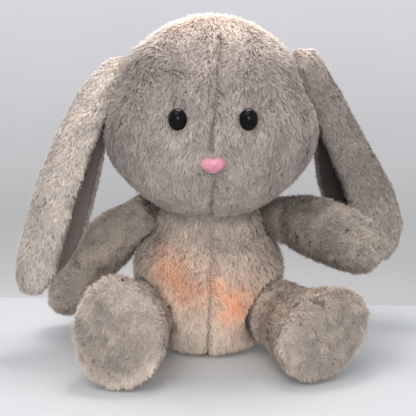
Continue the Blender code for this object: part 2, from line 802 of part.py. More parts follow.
def face_frame(head, place_x, rise):
    """A point on the face and the direction in which the face looks there."""
    start = Vector((place_x, -HEAD_FRONT_DEPTH * 2, head_bottom() + rise))
    return hit(head, start, Y_AXIS)


def fitting_cuts(base, normal):
    """The cuts that a shanked fitting needs in the skin and in the filling."""
    shank_room = SHANK_RADIUS + FIT
    bore_profile = ((shank_room, -SHANK_LENGTH - SKIN), (shank_room, CUT_OVERRUN))
    bore = turned(bore_profile, FITTING_SIDES, base, normal)
    room = WASHER_RADIUS + FIT
    nest_profile = ((room, -SHANK_LENGTH - SKIN), (room, CUT_OVERRUN))
    nest = turned(nest_profile, FITTING_SIDES, base, normal)
    return bore, nest


def washer(base, normal):
    """The washer that locks a fitting behind the skin."""
    top = -SKIN - WASHER_BACKSET
    profile = (
        (SHANK_RADIUS + FIT, top),
        (WASHER_RADIUS, top),
        (WASHER_RADIUS, top - WASHER_THICKNESS),
        (SHANK_RADIUS + FIT, top - WASHER_THICKNESS),
    )
    return turned(profile, FITTING_SIDES, base, normal, closed=True)


def make_eye(side, word, head, skin_cuts, filling_cuts, parent):
    """One moulded eye with its shank, and its washer."""
    base, normal = face_frame(head, EYE_SIDE_SHIFT + side * EYE_HALF_SPACING, EYE_RISE)
    seat = base - normal * EYE_SEAT_DEPTH
    bore, nest = fitting_cuts(base, normal)
    room = EYE_RADIUS + FIT
    recess = turned(((room, 0), (room, CUT_OVERRUN)), FITTING_SIDES, seat, normal)
    skin_cuts += [bore, recess]
    filling_cuts.append(nest)
    profile = [(SHANK_RADIUS, FIT - SHANK_LENGTH), (SHANK_RADIUS, FIT), (EYE_RADIUS, FIT)]
    for step in range(EYE_DOME_STEPS):
        angle = pi / 2 * step / EYE_DOME_STEPS
        profile.append((EYE_RADIUS * cos(angle), FIT + EYE_RIM + EYE_DOME * sin(angle)))
    eye = turned(profile, EYE_SIDES, seat, normal, pole=FIT + EYE_RIM + EYE_DOME)
    piece(eye, f"eye_{word}", BLACK_GLOSS, parent=parent)
    piece(washer(base, normal), f"eye_washer_{word}", CLEAR_WASHER, parent=parent)


def nose_outline(centre, right, up, share, room=0):
    """The nose's outline: round below, with a shallow dip in its flat top."""
    points = []
    for step in range(NOSE_SIDES):
        angle = 2 * pi * step / NOSE_SIDES
        across = cos(angle) * (NOSE_WIDTH / 2 * share + room)
        rise = sin(angle)
        height = NOSE_HEIGHT / 2 * share + room
        if rise > 0:
            dip = NOSE_DIP_SHARE * rise**NOSE_DIP_POWER
            rise = rise**NOSE_TOP_POWER * (NOSE_TOP_SHARE - dip)
        points.append(centre + right * across + up * rise * height)
    return points


def make_nose(head, skin_cuts, filling_cuts, parent):
    """The moulded nose with its shank, and its washer."""
    base, normal = face_frame(head, NOSE_SIDE_SHIFT, NOSE_RISE)
    seat = base - normal * NOSE_SEAT_DEPTH
    right = Z_AXIS.cross(normal).normalized()
    up = normal.cross(right)
    bore, nest = fitting_cuts(base, normal)
    ends = (seat, seat + normal * CUT_OVERRUN)
    recess = helper(loft([nose_outline(end, right, up, 1, FIT) for end in ends]))
    skin_cuts += [bore, recess]
    filling_cuts.append(nest)
    rings = []
    for share, rise in NOSE_RISE_SHARES:
        rings.append(nose_outline(seat + normal * (FIT + NOSE_DOME * rise), right, up, share))
    nose = helper(loft(rings, end_pole=seat + normal * (FIT + NOSE_DOME)))
    shank_top = FIT + NOSE_DOME / 2
    shank_profile = ((SHANK_RADIUS, FIT - SHANK_LENGTH), (SHANK_RADIUS, shank_top))
    shank = turned(shank_profile, FITTING_SIDES, seat, normal)
    combine(nose, [shank], "UNION")
    piece(nose, "nose", PINK, parent=parent)
    piece(washer(base, normal), "nose_washer", CLEAR_WASHER, parent=parent)


def make_head():
    """The head's skin and filling with the neck hollow, the face and the ears."""
    head = head_solid(0)
    neck_point = Z_AXIS * NECK_HEIGHT
    skin_cuts = [head_solid(SKIN), ball(neck_point, NECK_RADIUS + SOCKET_GAP, NECK_SIDES)]
    filling_cuts = [ball(neck_point, NECK_RADIUS + SOCKET_GAP, NECK_SIDES)]
    skin = copy_of(head)
    skin.name = "head_skin"
    for side, word in ((LEFT, "left"), (RIGHT, "right")):
        make_eye(side, word, head, skin_cuts, filling_cuts, None)
    make_nose(head, skin_cuts, filling_cuts, None)
    combine(skin, skin_cuts)
    filling = combine(head_solid(SKIN + FIT), filling_cuts)
    piece(skin, "head_skin", PLUSH, pivot=neck_point)
    piece(filling, "head_filling", STUFFING, parent=skin)
    for side, word in ((LEFT, "left"), (RIGHT, "right")):
        start = Vector((side * HEAD_WIDTH, EAR_ROOT_Y, head_bottom() + EAR_ROOT_RISE))
        place, normal = hit(head, start, X_AXIS * -side)
        make_ear(side, word, place)
    bpy.data.objects.remove(head, do_unlink=True)
    for name in ("eye", "eye_washer", "ear_fur"):
        for word in ("left", "right"):
            attach(bpy.data.objects[f"{name}_{word}"], skin)
    for name in ("nose", "nose_washer"):
        attach(bpy.data.objects[name], skin)


def attach(child, parent):
    """Parents a finished sub-part where it lies."""
    bpy.context.view_layer.update()
    child.parent = parent
    child.matrix_parent_inverse = parent.matrix_world.inverted()


def back_patch(inner, outer, width, bottom, top, corner):
    """A patch of cloth that follows the back of the body between two outsets."""
    patch = combine(torso_solid(-outer), [torso_solid(-inner)])
    centre = Vector((0, TORSO_DEPTH / 2, (bottom + top) / 2))
    window = rounded_slab(centre, width, top - bottom, TORSO_DEPTH - PATCH_START * 2, corner)
    return combine(patch, [window], "INTERSECT")


def make_torso():
    """The body's skin and filling, the back opening's flap and tapes, and the tail."""
    skin = torso_solid(0)
    middle = OPENING_BOTTOM + OPENING_HEIGHT / 2
    opening_centre = Vector((0, TORSO_DEPTH / 2, middle))
    opening_depth = TORSO_DEPTH - PATCH_START * 2
    opening = rounded_slab(opening_centre, OPENING_WIDTH, OPENING_HEIGHT, opening_depth, OPENING_CORNER)
    neck_profile = ((NECK_OPENING_RADIUS, NECK_HEIGHT), (NECK_OPENING_RADIUS, NECK_HEIGHT * 2))
    neck_opening = turned(neck_profile, NECK_SIDES)
    combine(skin, [torso_solid(SKIN), opening, neck_opening])
    combine(skin, sockets(SOCKET_GAP, SOCKET_SIDES), solver="MANIFOLD")
    filling = torso_solid(SKIN + FIT)
    filling_sockets = sockets(FILLING_SOCKET_GAP, FILLING_SOCKET_SIDES)
    combine(filling, [module_room(), lamp_room(), lead_room(), *filling_sockets])
    piece(skin, "torso_skin", PLUSH, pivot=Vector())
    piece(filling, "torso_filling", STUFFING, parent=skin)
    make_flap(skin)
    make_tail(skin)
    return skin


def make_flap(skin):
    """The flap over the back opening, sewn along its top, and its two closing tapes."""
    loop_outer = FIT + TAPE_THICKNESS
    hook_inner = loop_outer + FIT
    hook_outer = hook_inner + TAPE_THICKNESS
    flap_inner = hook_outer + FIT
    flap_outer = flap_inner + FLAP_THICKNESS
    width = OPENING_WIDTH + FLAP_MARGIN * 2
    bottom = OPENING_BOTTOM - FLAP_MARGIN
    top = OPENING_BOTTOM + OPENING_HEIGHT + FLAP_MARGIN
    flap = back_patch(flap_inner, flap_outer, width, bottom, top, FLAP_MARGIN)
    seam = back_patch(FIT, flap_outer, OPENING_WIDTH, top - TAPE_HEIGHT, top, TAPE_INSET)
    combine(flap, [seam], "UNION")
    tape_bottom = bottom + TAPE_INSET
    tape_top = tape_bottom + TAPE_HEIGHT
    loop = back_patch(FIT, loop_outer, OPENING_WIDTH, tape_bottom, tape_top, TAPE_INSET)
    hook = back_patch(hook_inner, hook_outer, OPENING_WIDTH, tape_bottom, tape_top, TAPE_INSET)
    half_width, half_depth = body_oval(top)
    hinge = Vector((0, half_depth + FIT, top))
    piece(flap, "back_flap", PLUSH, parent=skin, pivot=hinge)
    piece(loop, "loop_tape", TAPE_GREY, parent=skin)
    piece(hook, "hook_tape", TAPE_GREY, parent=flap)


def make_tail(skin):
    """The round tail, cut to the body that it is sewn to."""
    height = TAIL_RADIUS + TAIL_CLEARANCE
    half_width, half_depth = body_oval(height)
    tail = ball(Vector((0, half_depth + TAIL_RADIUS * TAIL_OUT_SHARE, height)), TAIL_RADIUS, TAIL_SIDES)
    combine(tail, [torso_solid(-FIT)])
    piece(tail, "tail", PLUSH, parent=skin)


def module_sizes():
    """The battery case's width, depth and height, and the height of its lower contact plate."""
    pitch = CELL_RADIUS * 2 + CELL_GAP
    width = pitch * CELL_COUNT + CASE_WALL * 2
    depth = CASE_WALL + CELL_RADIUS * 2 + CELL_GAP + DOOR_THICKNESS + FIT
    low_plate = CASE_WALL + SCREW_BLOCK + FIT
    cell = CELL_LENGTH + CELL_NUB_HEIGHT
    high_plate = low_plate + CONTACT_THICKNESS + FIT + SPRING_HEIGHT + FIT + cell + FIT
    height = high_plate + CONTACT_THICKNESS + FIT + CASE_WALL
    return pitch, width, depth, height, low_plate, high_plate


def module_base():
    """The middle of the lower end of the battery module."""
    bottom = OPENING_BOTTOM + MODULE_ABOVE_OPENING
    pitch, width, depth, height, low_plate, high_plate = module_sizes()
    half_width, half_depth = body_oval(bottom + height)
    return Vector((0, half_depth - MODULE_SETBACK, bottom))


def module_matrix():
    """Where the leaning battery module stands."""
    place = Matrix.Translation(module_base())
    return place @ Matrix.Rotation(MODULE_LEAN, 4, "X")


def module_room():
    """The pocket that the battery case slides into from the back."""
    pitch, width, depth, height, low_plate, high_plate = module_sizes()
    room = MODULE_CLEARANCE
    centre = Vector((0, (TORSO_DEPTH - depth) / 2 - room, height / 2))
    size = Vector((width + room * 2, TORSO_DEPTH, height + room * 2))
    pocket = box(centre, size)
    pocket.data.transform(module_matrix())
    return pocket


def module_piece(made, name, finish, holder, metallic=0.0):
    """Places a piece of the battery module, which is built in the module's own frame."""
    made.data.transform(module_matrix())
    return piece(made, name, finish, metallic, parent=holder)


def make_module(skin):
    """The battery case with its door, screw, cells, contacts and springs."""
    pitch, width, depth, height, low_plate, high_plate = module_sizes()
    back = depth / 2
    front = -depth / 2
    case = box(Vector((0, 0, height / 2)), Vector((width, depth, height)))
    floor_z = CASE_WALL + SCREW_BLOCK
    roof_z = height - CASE_WALL
    inner_y = front + CASE_WALL
    hollow_size = Vector((width - CASE_WALL * 2, CUT_OVERRUN, roof_z - floor_z))
    hollow = box(Vector((0, inner_y + CUT_OVERRUN / 2, (roof_z + floor_z) / 2)), hollow_size)
    seat_y = back - DOOR_THICKNESS - FIT
    seat_size = Vector((width - CASE_WALL, CUT_OVERRUN, height - CASE_WALL))
    door_seat = box(Vector((0, seat_y + CUT_OVERRUN / 2, height / 2)), seat_size)
    screw_place = Vector((0, back, CASE_WALL + SCREW_BLOCK / 2))
    bore_radius = SCREW_RADIUS + FIT
    bore_profile = ((bore_radius, -SCREW_LENGTH - FIT), (bore_radius, CUT_OVERRUN))
    case_bore = turned(bore_profile, SCREW_SIDES, screw_place, Y_AXIS)
    door_bore = turned(bore_profile, SCREW_SIDES, screw_place, Y_AXIS)
    to_module = module_matrix().inverted()
    lead_bores = []
    for side in (LEFT, RIGHT):
        start = Vector((side * LEAD_HALF_SPACING, 0, lamp_rim().z))
        radius = LEAD_RADIUS + LEAD_BORE_CLEARANCE
        bore = turned(((radius, 0), (radius, module_base().y)), LEAD_SIDES * 2, start, Y_AXIS)
        bore.data.transform(to_module)
        lead_bores.append(bore)
    combine(case, [hollow, door_seat, case_bore, *lead_bores])
    case = module_piece(case, "battery_case", WHITE_PLASTIC, skin)
    door_size = Vector((width - CASE_WALL - FIT * 2, DOOR_THICKNESS, height - CASE_WALL - FIT * 2))
    door = box(Vector((0, back - DOOR_THICKNESS / 2, height / 2)), door_size)
    combine(door, [door_bore])
    module_piece(door, "battery_door", WHITE_PLASTIC, case)
    make_screw(screw_place, case)
    make_cells(case)


def make_screw(place, case):
    """The slotted screw that holds the battery door."""
    profile = (
        (SCREW_RADIUS, FIT - SCREW_LENGTH),
        (SCREW_RADIUS, FIT),
        (SCREW_HEAD_RADIUS, FIT),
        (SCREW_HEAD_RADIUS, FIT + SCREW_HEAD_HEIGHT / 2),
        (SCREW_HEAD_RADIUS * SCREW_CROWN_SHARE, FIT + SCREW_HEAD_HEIGHT),
    )
    screw = turned(profile, SCREW_SIDES, place, Y_AXIS)
    slot_centre = place + Y_AXIS * (FIT + SCREW_HEAD_HEIGHT)
    slot = box(slot_centre, Vector((CUT_OVERRUN, SCREW_HEAD_HEIGHT, SCREW_RADIUS / 2)))
    combine(screw, [slot])
    module_piece(screw, "door_screw", STEEL, case, metallic=1.0)


def make_cells(case):
    """Three cells in a row, turned end for end in turn, with their contacts."""
    pitch, width, depth, height, low_plate, high_plate = module_sizes()
    cell_y = -depth / 2 + CASE_WALL + CELL_GAP / 2 + CELL_RADIUS
    low_face = low_plate + CONTACT_THICKNESS
    middle_z = (low_face + high_plate) / 2
    plate_size = Vector((width - CASE_WALL * 2 - FIT * 2, CELL_RADIUS * 2, CONTACT_THICKNESS))
    for name, base in (("contact_lower", low_plate), ("contact_upper", high_plate)):
        plate = box(Vector((0, cell_y, base + CONTACT_THICKNESS / 2)), plate_size)
        module_piece(plate, name, STEEL, case, metallic=1.0)
    spring_base = low_face + FIT
    cell_base = spring_base + SPRING_HEIGHT + FIT
    shoulder_z = cell_base + CELL_LENGTH
    for index in range(CELL_COUNT):
        place = Vector(((index - (CELL_COUNT - 1) / 2) * pitch, cell_y, 0))
        profile = (
            (CELL_RADIUS * CELL_END_SHARE, cell_base),
            (CELL_RADIUS, cell_base + CELL_BEVEL),
            (CELL_RADIUS, shoulder_z - CELL_BEVEL),
            (CELL_RADIUS * CELL_END_SHARE, shoulder_z),
            (CELL_NUB_RADIUS, shoulder_z),
            (CELL_NUB_RADIUS, shoulder_z + CELL_NUB_HEIGHT),
        )
        cell = turned(profile, CELL_SIDES, place)
        spring = coil_spring(place + Z_AXIS * spring_base)
        if index % 2:
            flip = turn_about(Vector((place.x, place.y, middle_z)), X_AXIS, pi)
            cell.data.transform(flip)
            spring.data.transform(flip)
        module_piece(cell, f"battery_{index + 1}", CELL_GREEN, case)
        module_piece(spring, f"battery_spring_{index + 1}", STEEL, case, metallic=1.0)


def tube(points, radius, name="tube"):
    """A round wire along a list of points, as a working object."""
    curve = bpy.data.curves.new(name, "CURVE")
    curve.dimensions = "3D"
    curve.bevel_depth = radius
    curve.bevel_resolution = WIRE_RESOLUTION
    curve.use_fill_caps = True
    spline = curve.splines.new("POLY")
    spline.points.add(len(points) - 1)
    for point, place in zip(spline.points, points):
        point.co = (*place, 1)
    drawn = bpy.data.objects.new(name, curve)
    bpy.context.collection.objects.link(drawn)
    bpy.context.view_layer.update()
    graph = bpy.context.evaluated_depsgraph_get()
    bm = bmesh.new()
    bm.from_mesh(bpy.data.meshes.new_from_object(drawn.evaluated_get(graph)))
    bpy.data.objects.remove(drawn, do_unlink=True)
    bmesh.ops.remove_doubles(bm, verts=bm.verts, dist=radius * WELD_SHARE)
    return helper(bm)


def coil_spring(base):
    """A conical contact spring that stands on base."""
    wire = SPRING_WIRE / 2
    rise = SPRING_HEIGHT - SPRING_WIRE
    count = SPRING_TURNS * SPRING_TURN_POINTS
    points = []
    for step in range(count + 1):
        share = step / count
        angle = 2 * pi * SPRING_TURNS * share
        radius = SPRING_BASE_RADIUS + (SPRING_TOP_RADIUS - SPRING_BASE_RADIUS) * share
        points.append(base + Vector((radius * cos(angle), radius * sin(angle), wire + rise * share)))
    return tube(points, wire)


def lamp_rim():
    """The middle of the lamp's rim, behind the belly."""
    height = NECK_HEIGHT * LAMP_RISE_SHARE
    half_width, half_depth = body_oval(height + LAMP_HEIGHT / 2)
    return Vector((0, LAMP_SETBACK - half_depth, height))


def lamp_ring(y, shrink):
    """One oval section of the lamp, drawn in by shrink."""
    half_width = LAMP_WIDTH / 2 - shrink
    half_height = LAMP_HEIGHT / 2 - shrink
    centre = Vector((0, y, lamp_rim().z))
    return oval(centre, X_AXIS, Z_AXIS, half_width, half_height, half_height, LAMP_SIDES)


def lamp_room():
    """The pocket for the lamp, open towards the belly."""
    back = lamp_rim().y + LAMP_DEPTH + MODULE_CLEARANCE
    return helper(loft([lamp_ring(y, -MODULE_CLEARANCE) for y in (back, -TORSO_DEPTH)]))


def lead_room():
    """The channel for the two leads between the lamp and the battery case."""
    start = lamp_rim().y + LAMP_DEPTH
    room = LEAD_RADIUS + LEAD_BORE_CLEARANCE
    width = (LEAD_HALF_SPACING + room) * 2
    centre = Vector((0, (start + module_base().y) / 2, lamp_rim().z))
    return box(centre, Vector((width, module_base().y - start, (room + LEAD_BOW) * 2)))


def make_lamp(skin):
    """The lamp's tray, board, diodes, diffuser, switch, button and leads."""
    back = lamp_rim().y + LAMP_DEPTH
    tray_rings = [lamp_ring(lamp_rim().y, 0), lamp_ring(back - LAMP_WALL, 0), lamp_ring(back, LAMP_WALL)]
    tray = helper(loft(tray_rings))
    inner_y = back - LAMP_WALL
    hollow = helper(loft([lamp_ring(inner_y, LAMP_WALL), lamp_ring(-TORSO_DEPTH, LAMP_WALL)]))
    combine(tray, [hollow])
    board_front = lamp_rim().y + BOARD_SETBACK
    board_back = board_front + BOARD_THICKNESS
    posts = []
    for across in (LEFT, RIGHT):
        for rise in (-1, 1):
            place = Vector((across * LAMP_WIDTH, 0, rise * LAMP_HEIGHT)) * POST_PLACE_SHARE
            place += Vector((0, board_back + FIT, lamp_rim().z))
            post_profile = ((POST_RADIUS, 0), (POST_RADIUS, back - LAMP_WALL / 2 - place.y))
            posts.append(turned(post_profile, LED_SIDES, place, Y_AXIS))
    combine(tray, posts, "UNION")
    bores = []
    for side in (LEFT, RIGHT):
        radius = LEAD_RADIUS + LEAD_BORE_CLEARANCE
        start = Vector((side * LEAD_HALF_SPACING, inner_y - LAMP_WALL, lamp_rim().z))
        bores.append(turned(((radius, 0), (radius, CUT_OVERRUN)), LEAD_SIDES * 2, start, Y_AXIS))
    combine(tray, bores)
    tray = piece(tray, "lamp_tray", WHITE_PLASTIC, parent=skin)
    board_inset = LAMP_WALL + FIT
    board = helper(loft([lamp_ring(y, board_inset) for y in (board_front, board_back)]))
    board = piece(board, "circuit_board", BOARD_GREEN, parent=tray)
    make_diffuser(tray)
    make_diodes(board, board_front)
    make_switch(board, tray, board_front)
    make_leads(tray, board_back)


def make_diffuser(tray):
    """The frosted dome over the lamp, with the button's hole in its middle."""
    rim = lamp_rim().y - FIT
    hole = BUTTON_RADIUS + FIT
    rings = []
    for wall, order in ((0, 1), (LAMP_WALL, -1)):
        surface_rings = []
        for share in DOME_ANGLE_SHARES:
            angle = pi / 2 * share
            half_width = hole + (LAMP_WIDTH / 2 - wall - hole) * cos(angle)
            half_height = hole + (LAMP_HEIGHT / 2 - wall - hole) * cos(angle)
            centre = Vector((0, rim - (LAMP_DOME - wall) * sin(angle), lamp_rim().z))
            ring = oval(centre, X_AXIS, Z_AXIS, half_width, half_height, half_height, LAMP_SIDES)
            surface_rings.append(ring)
        rings += surface_rings[::order]
    piece(helper(loft(rings, closed=True)), "lamp_diffuser", FROSTED, parent=tray)


def make_diodes(board, board_front):
    """The warm light-emitting diodes, where the glow shows through the belly."""
    for index, (across, rise) in enumerate(LED_PLACE_SHARES):
        place = Vector((across * LAMP_WIDTH / 2, board_front - FIT, lamp_rim().z + rise * LAMP_HEIGHT / 2))
        profile = [(LED_FLANGE_RADIUS, 0), (LED_FLANGE_RADIUS, LED_FLANGE), (LED_RADIUS, LED_FLANGE)]
        straight = LED_HEIGHT - LED_RADIUS
        for share in LED_DOME_SHARES:
            angle = pi / 2 * share
            profile.append((LED_RADIUS * cos(angle), straight + LED_RADIUS * sin(angle)))
        diode = turned(profile, LED_SIDES, place, -Y_AXIS)
        piece(diode, f"led_{index + 1}", LED_AMBER, parent=board)


def make_switch(board, tray, board_front):
    """The tactile switch on the board and the push button before it."""
    face = board_front - FIT
    body_centre = Vector((0, face - SWITCH_HEIGHT / 2, lamp_rim().z))
    body = box(body_centre, Vector((SWITCH_SIDE, SWITCH_HEIGHT, SWITCH_SIDE)))
    plunger_base = Vector((0, face - SWITCH_HEIGHT / 2, lamp_rim().z))
    plunger_top = SWITCH_HEIGHT / 2 + PLUNGER_HEIGHT
    plunger_profile = ((PLUNGER_RADIUS, 0), (PLUNGER_RADIUS, plunger_top))
    plunger = turned(plunger_profile, LED_SIDES, plunger_base, -Y_AXIS)
    combine(body, [plunger], "UNION")
    piece(body, "switch_body", SWITCH_BLACK, parent=board)
    front = lamp_rim().y - FIT - LAMP_DOME - BUTTON_STANDOUT
    stem_end = face - SWITCH_HEIGHT - PLUNGER_HEIGHT - FIT - BUTTON_TRAVEL
    flange_front = lamp_rim().y - FIT - LAMP_DOME + LAMP_WALL + FIT
    length = stem_end - front
    base = Vector((0, stem_end, lamp_rim().z))
    profile = (
        (BUTTON_STEM_RADIUS, 0),
        (BUTTON_STEM_RADIUS, stem_end - flange_front - BUTTON_FLANGE),
        (BUTTON_RADIUS + BUTTON_FLANGE, stem_end - flange_front - BUTTON_FLANGE),
        (BUTTON_RADIUS + BUTTON_FLANGE, stem_end - flange_front),
        (BUTTON_RADIUS, stem_end - flange_front),
        (BUTTON_RADIUS, length - BUTTON_FLANGE),
        (BUTTON_RADIUS * BUTTON_CROWN_SHARE, length),
    )
    button = turned(profile, BUTTON_SIDES, base, -Y_AXIS)
    piece(button, "push_button", FROSTED, parent=tray, pivot=base)


def make_leads(tray, board_back):
    """The red and the black lead from the battery case to the board."""
    pitch, width, depth, height, low_plate, high_plate = module_sizes()
    inner_face = module_matrix() @ Vector((0, -depth / 2 + CASE_WALL, 0))
    slope = (lamp_rim().z - module_base().z) * sin(MODULE_LEAN) / cos(MODULE_LEAN)
    end_y = inner_face.y - slope
    start_y = board_back + FIT
    for side, name, finish in ((LEFT, "lead_black", BLACK_WIRE), (RIGHT, "lead_red", RED_WIRE)):
        points = []
        for step in range(LEAD_POINTS):
            share = step / (LEAD_POINTS - 1)
            bow = LEAD_BOW * sin(pi * share) ** 2 * side
            y = start_y + (end_y - start_y) * share
            points.append(Vector((side * LEAD_HALF_SPACING, y, lamp_rim().z + bow)))
        piece(tube(points, LEAD_RADIUS), name, finish, parent=tray)


def main():
    """Builds the whole night light."""
    clear_scene()
    skin = make_torso()
    make_head()
    for side, word in ((LEFT, "left"), (RIGHT, "right")):
        make_arm(side, word)
        make_leg(side, word)
    make_module(skin)
    make_lamp(skin)
    moving = ["head_skin"]
    for word in ("left", "right"):
        moving += [f"arm_skin_{word}", f"leg_skin_{word}"]
    for name in moving:
        attach(bpy.data.objects[name], skin)


main()
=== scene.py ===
"""Plush night light: fur, cloth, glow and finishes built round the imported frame."""

import math

import bmesh
import bpy
import numpy as np
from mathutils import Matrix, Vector
from mathutils.bvhtree import BVHTree


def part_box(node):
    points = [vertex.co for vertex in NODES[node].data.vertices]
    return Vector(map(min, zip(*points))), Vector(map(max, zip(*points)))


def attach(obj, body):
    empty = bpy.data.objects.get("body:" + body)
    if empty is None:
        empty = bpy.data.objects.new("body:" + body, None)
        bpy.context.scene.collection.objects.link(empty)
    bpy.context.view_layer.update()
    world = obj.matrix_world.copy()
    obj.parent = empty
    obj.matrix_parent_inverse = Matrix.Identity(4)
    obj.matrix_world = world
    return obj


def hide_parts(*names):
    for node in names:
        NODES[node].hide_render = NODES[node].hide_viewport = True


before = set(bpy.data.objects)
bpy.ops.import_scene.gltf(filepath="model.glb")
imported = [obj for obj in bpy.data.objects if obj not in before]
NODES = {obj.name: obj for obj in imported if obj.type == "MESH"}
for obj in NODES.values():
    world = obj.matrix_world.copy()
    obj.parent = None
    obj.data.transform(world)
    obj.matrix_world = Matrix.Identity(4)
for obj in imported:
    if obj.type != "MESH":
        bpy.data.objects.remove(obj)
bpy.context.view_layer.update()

MM = 0.001
SIDES = ((-1, "left"), (1, "right"))
DOWN = np.array([0.0, 0.0, -1.0])
STREAK = np.array([1.0, 1.0, 0.28])  # draws noise out along Z

CAST_REACH = 0.4  # further out than any form
CLOTH_FRAMES = 20
NEAR_SEAM, OFF_SEAM = 1.5 * MM, 4 * MM  # cloth is held within the first and free beyond the second
TOUCHING, CLEAR = 0.8 * MM, 9 * MM  # gaps at which a form is drawn in least and most
LEAST_SINK = 0.25 * MM

PILE_ROOT = 2.7 * MM  # how far below the CAD skin the cloth lies that carries the pile
THROUGH = 0.36  # share of the light that passes through a strand
OPEN_REACH = 12 * MM  # gaps beyond this count as open air
SHORTEST = 0.2  # strands cut shorter than this share are left out
ABOVE_FLOOR = 0.1 * MM
STRANDS = {"head": 200000, "head_back": 115000, "ear": 84000, "torso_front": 84000, "torso_back": 78000,
           "arm": 66000, "leg": 64000, "sole": 60000, "tail": 16000, "flap": 34000}

bpy.context.scene.view_settings.view_transform = "Standard"


# Numbers

def smoothstep(low, high, x):
    """Zero at low, one at high, with soft ends. Low may lie above high."""
    t = np.clip((x - low) / (high - low), 0, 1)
    return t * t * (3 - 2 * t)


def bell(x, width):
    """One at zero, falling smoothly to both sides."""
    return np.exp(-(x / width) ** 2)


def noise(points, size, seed):
    """Smooth value noise from -1 to 1 with features of the given size."""
    p = points / size + 1000.0
    cell = np.floor(p).astype(np.int64)
    f = p - cell
    f = f * f * (3 - 2 * f)
    total = np.zeros(len(points))
    for dx in (0, 1):
        for dy in (0, 1):
            for dz in (0, 1):
                h = (cell[:, 0] + dx) * 374761393 + (cell[:, 1] + dy) * 668265263
                h = (h + (cell[:, 2] + dz) * 2147483647 + seed * 974634777) & 0xFFFFFFFF
                h = ((h ^ (h >> 13)) * 1274126177) & 0xFFFFFFFF
                h = (h ^ (h >> 16)) & 0xFFFF
                w = np.where(dx, f[:, 0], 1 - f[:, 0])
                w = w * np.where(dy, f[:, 1], 1 - f[:, 1])
                w = w * np.where(dz, f[:, 2], 1 - f[:, 2])
                total += w * (h / 32767.5 - 1)
    return total


def noise3(points, size, seed):
    return np.stack([noise(points, size, seed + k * 17) for k in range(3)], 1)


def unit(v):
    return v / np.maximum(np.linalg.norm(v, axis=-1, keepdims=True), 1e-12)


def coords(mesh):
    co = np.empty(len(mesh.vertices) * 3)
    mesh.vertices.foreach_get("co", co)
    return co.reshape(-1, 3)


def normals(mesh):
    no = np.empty(len(mesh.vertices) * 3)
    mesh.vertices.foreach_get("normal", no)
    return no.reshape(-1, 3)


def edges(mesh):
    e = np.empty(len(mesh.edges) * 2, np.int64)
    mesh.edges.foreach_get("vertices", e)
    return e.reshape(-1, 2)


def put(mesh, co):
    mesh.vertices.foreach_set("co", np.ascontiguousarray(co, np.float32).ravel())
    mesh.update()


def neighbour_mean(co, links):
    """The mean place of the neighbours of each point."""
    n = len(co)
    a, b = links[:, 0], links[:, 1]
    count = np.maximum(np.bincount(links.ravel(), minlength=n), 1)[:, None]
    total = np.stack([np.bincount(a, co[b, k], n) + np.bincount(b, co[a, k], n) for k in range(3)], 1)
    return total / count


def relax(co, links, times, back=0.53):
    """Smooths a form in pairs of steps, in and back out, that keep its volume."""
    co = co.copy()
    for step in range(times * 2):
        co += (neighbour_mean(co, links) - co) * (0.5 if step % 2 == 0 else -back)
    return co


# Forms

def node_tree(names):
    """A search tree over the named nodes taken together."""
    verts, faces = [], []
    for name in names:
        mesh = NODES[name].data
        base = len(verts)
        verts += [v.co.copy() for v in mesh.vertices]
        faces += [[base + i for i in p.vertices] for p in mesh.polygons]
    return BVHTree.FromPolygons(verts, faces)


def box_of(names):
    boxes = [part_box(n) for n in names]
    lo = Vector([min(b[0][k] for b in boxes) for k in range(3)])
    hi = Vector([max(b[1][k] for b in boxes) for k in range(3)])
    return lo, hi


def new_object(name, mesh):
    obj = bpy.data.objects.new(name, mesh)
    bpy.context.scene.collection.objects.link(obj)
    return obj


def shade_smooth(mesh):
    mesh.polygons.foreach_set("use_smooth", [True] * len(mesh.polygons))


def put_attribute(mesh, name, values):
    mesh.attributes.new(name, "FLOAT", "POINT").data.foreach_set("value", values.astype(np.float32))


def cast_form(name, nodes, level, centre, relaxing):
    """A round closed form cast from outside onto the nodes."""
    bm = bmesh.new()
    bmesh.ops.create_icosphere(bm, subdivisions=level, radius=1.0)
    tree = node_tree(nodes)
    lo, hi = box_of(nodes)
    half = (hi - lo) / 2
    middle = Vector(centre)
    for v in bm.verts:
        way = Vector((v.co.x * half.x, v.co.y * half.y, v.co.z * half.z)).normalized()
        hit = tree.ray_cast(middle + way * CAST_REACH, -way)[0]
        v.co = hit if hit else middle + way * half.x
    mesh = bpy.data.meshes.new(name)
    bm.to_mesh(mesh)
    bm.free()
    put(mesh, relax(coords(mesh), edges(mesh), relaxing))
    shade_smooth(mesh)
    return new_object(name, mesh)


def applied(obj):
    """Applies the modifiers of an object to its mesh."""
    depsgraph = bpy.context.evaluated_depsgraph_get()
    depsgraph.update()
    mesh = bpy.data.meshes.new_from_object(obj.evaluated_get(depsgraph))
    old = obj.data
    obj.modifiers.clear()
    obj.data = mesh
    bpy.data.meshes.remove(old)


def keep_largest(mesh):
    """Deletes all but the largest connected part."""
    bm = bmesh.new()
    bm.from_mesh(mesh)
    left = set(bm.verts)
    best = []
    while left:
        seed = left.pop()
        group, stack = [seed], [seed]
        while stack:
            for e in stack.pop().link_edges:
                for v in e.verts:
                    if v in left:
                        left.discard(v)
                        group.append(v)
                        stack.append(v)
        size = sum((v.co - seed.co).length for v in group)
        if not best or size > best[0]:
            best = [size, group]
    kept = set(best[1])
    bmesh.ops.delete(bm, geom=[v for v in bm.verts if v not in kept], context="VERTS")
    bm.to_mesh(mesh)
    bm.free()


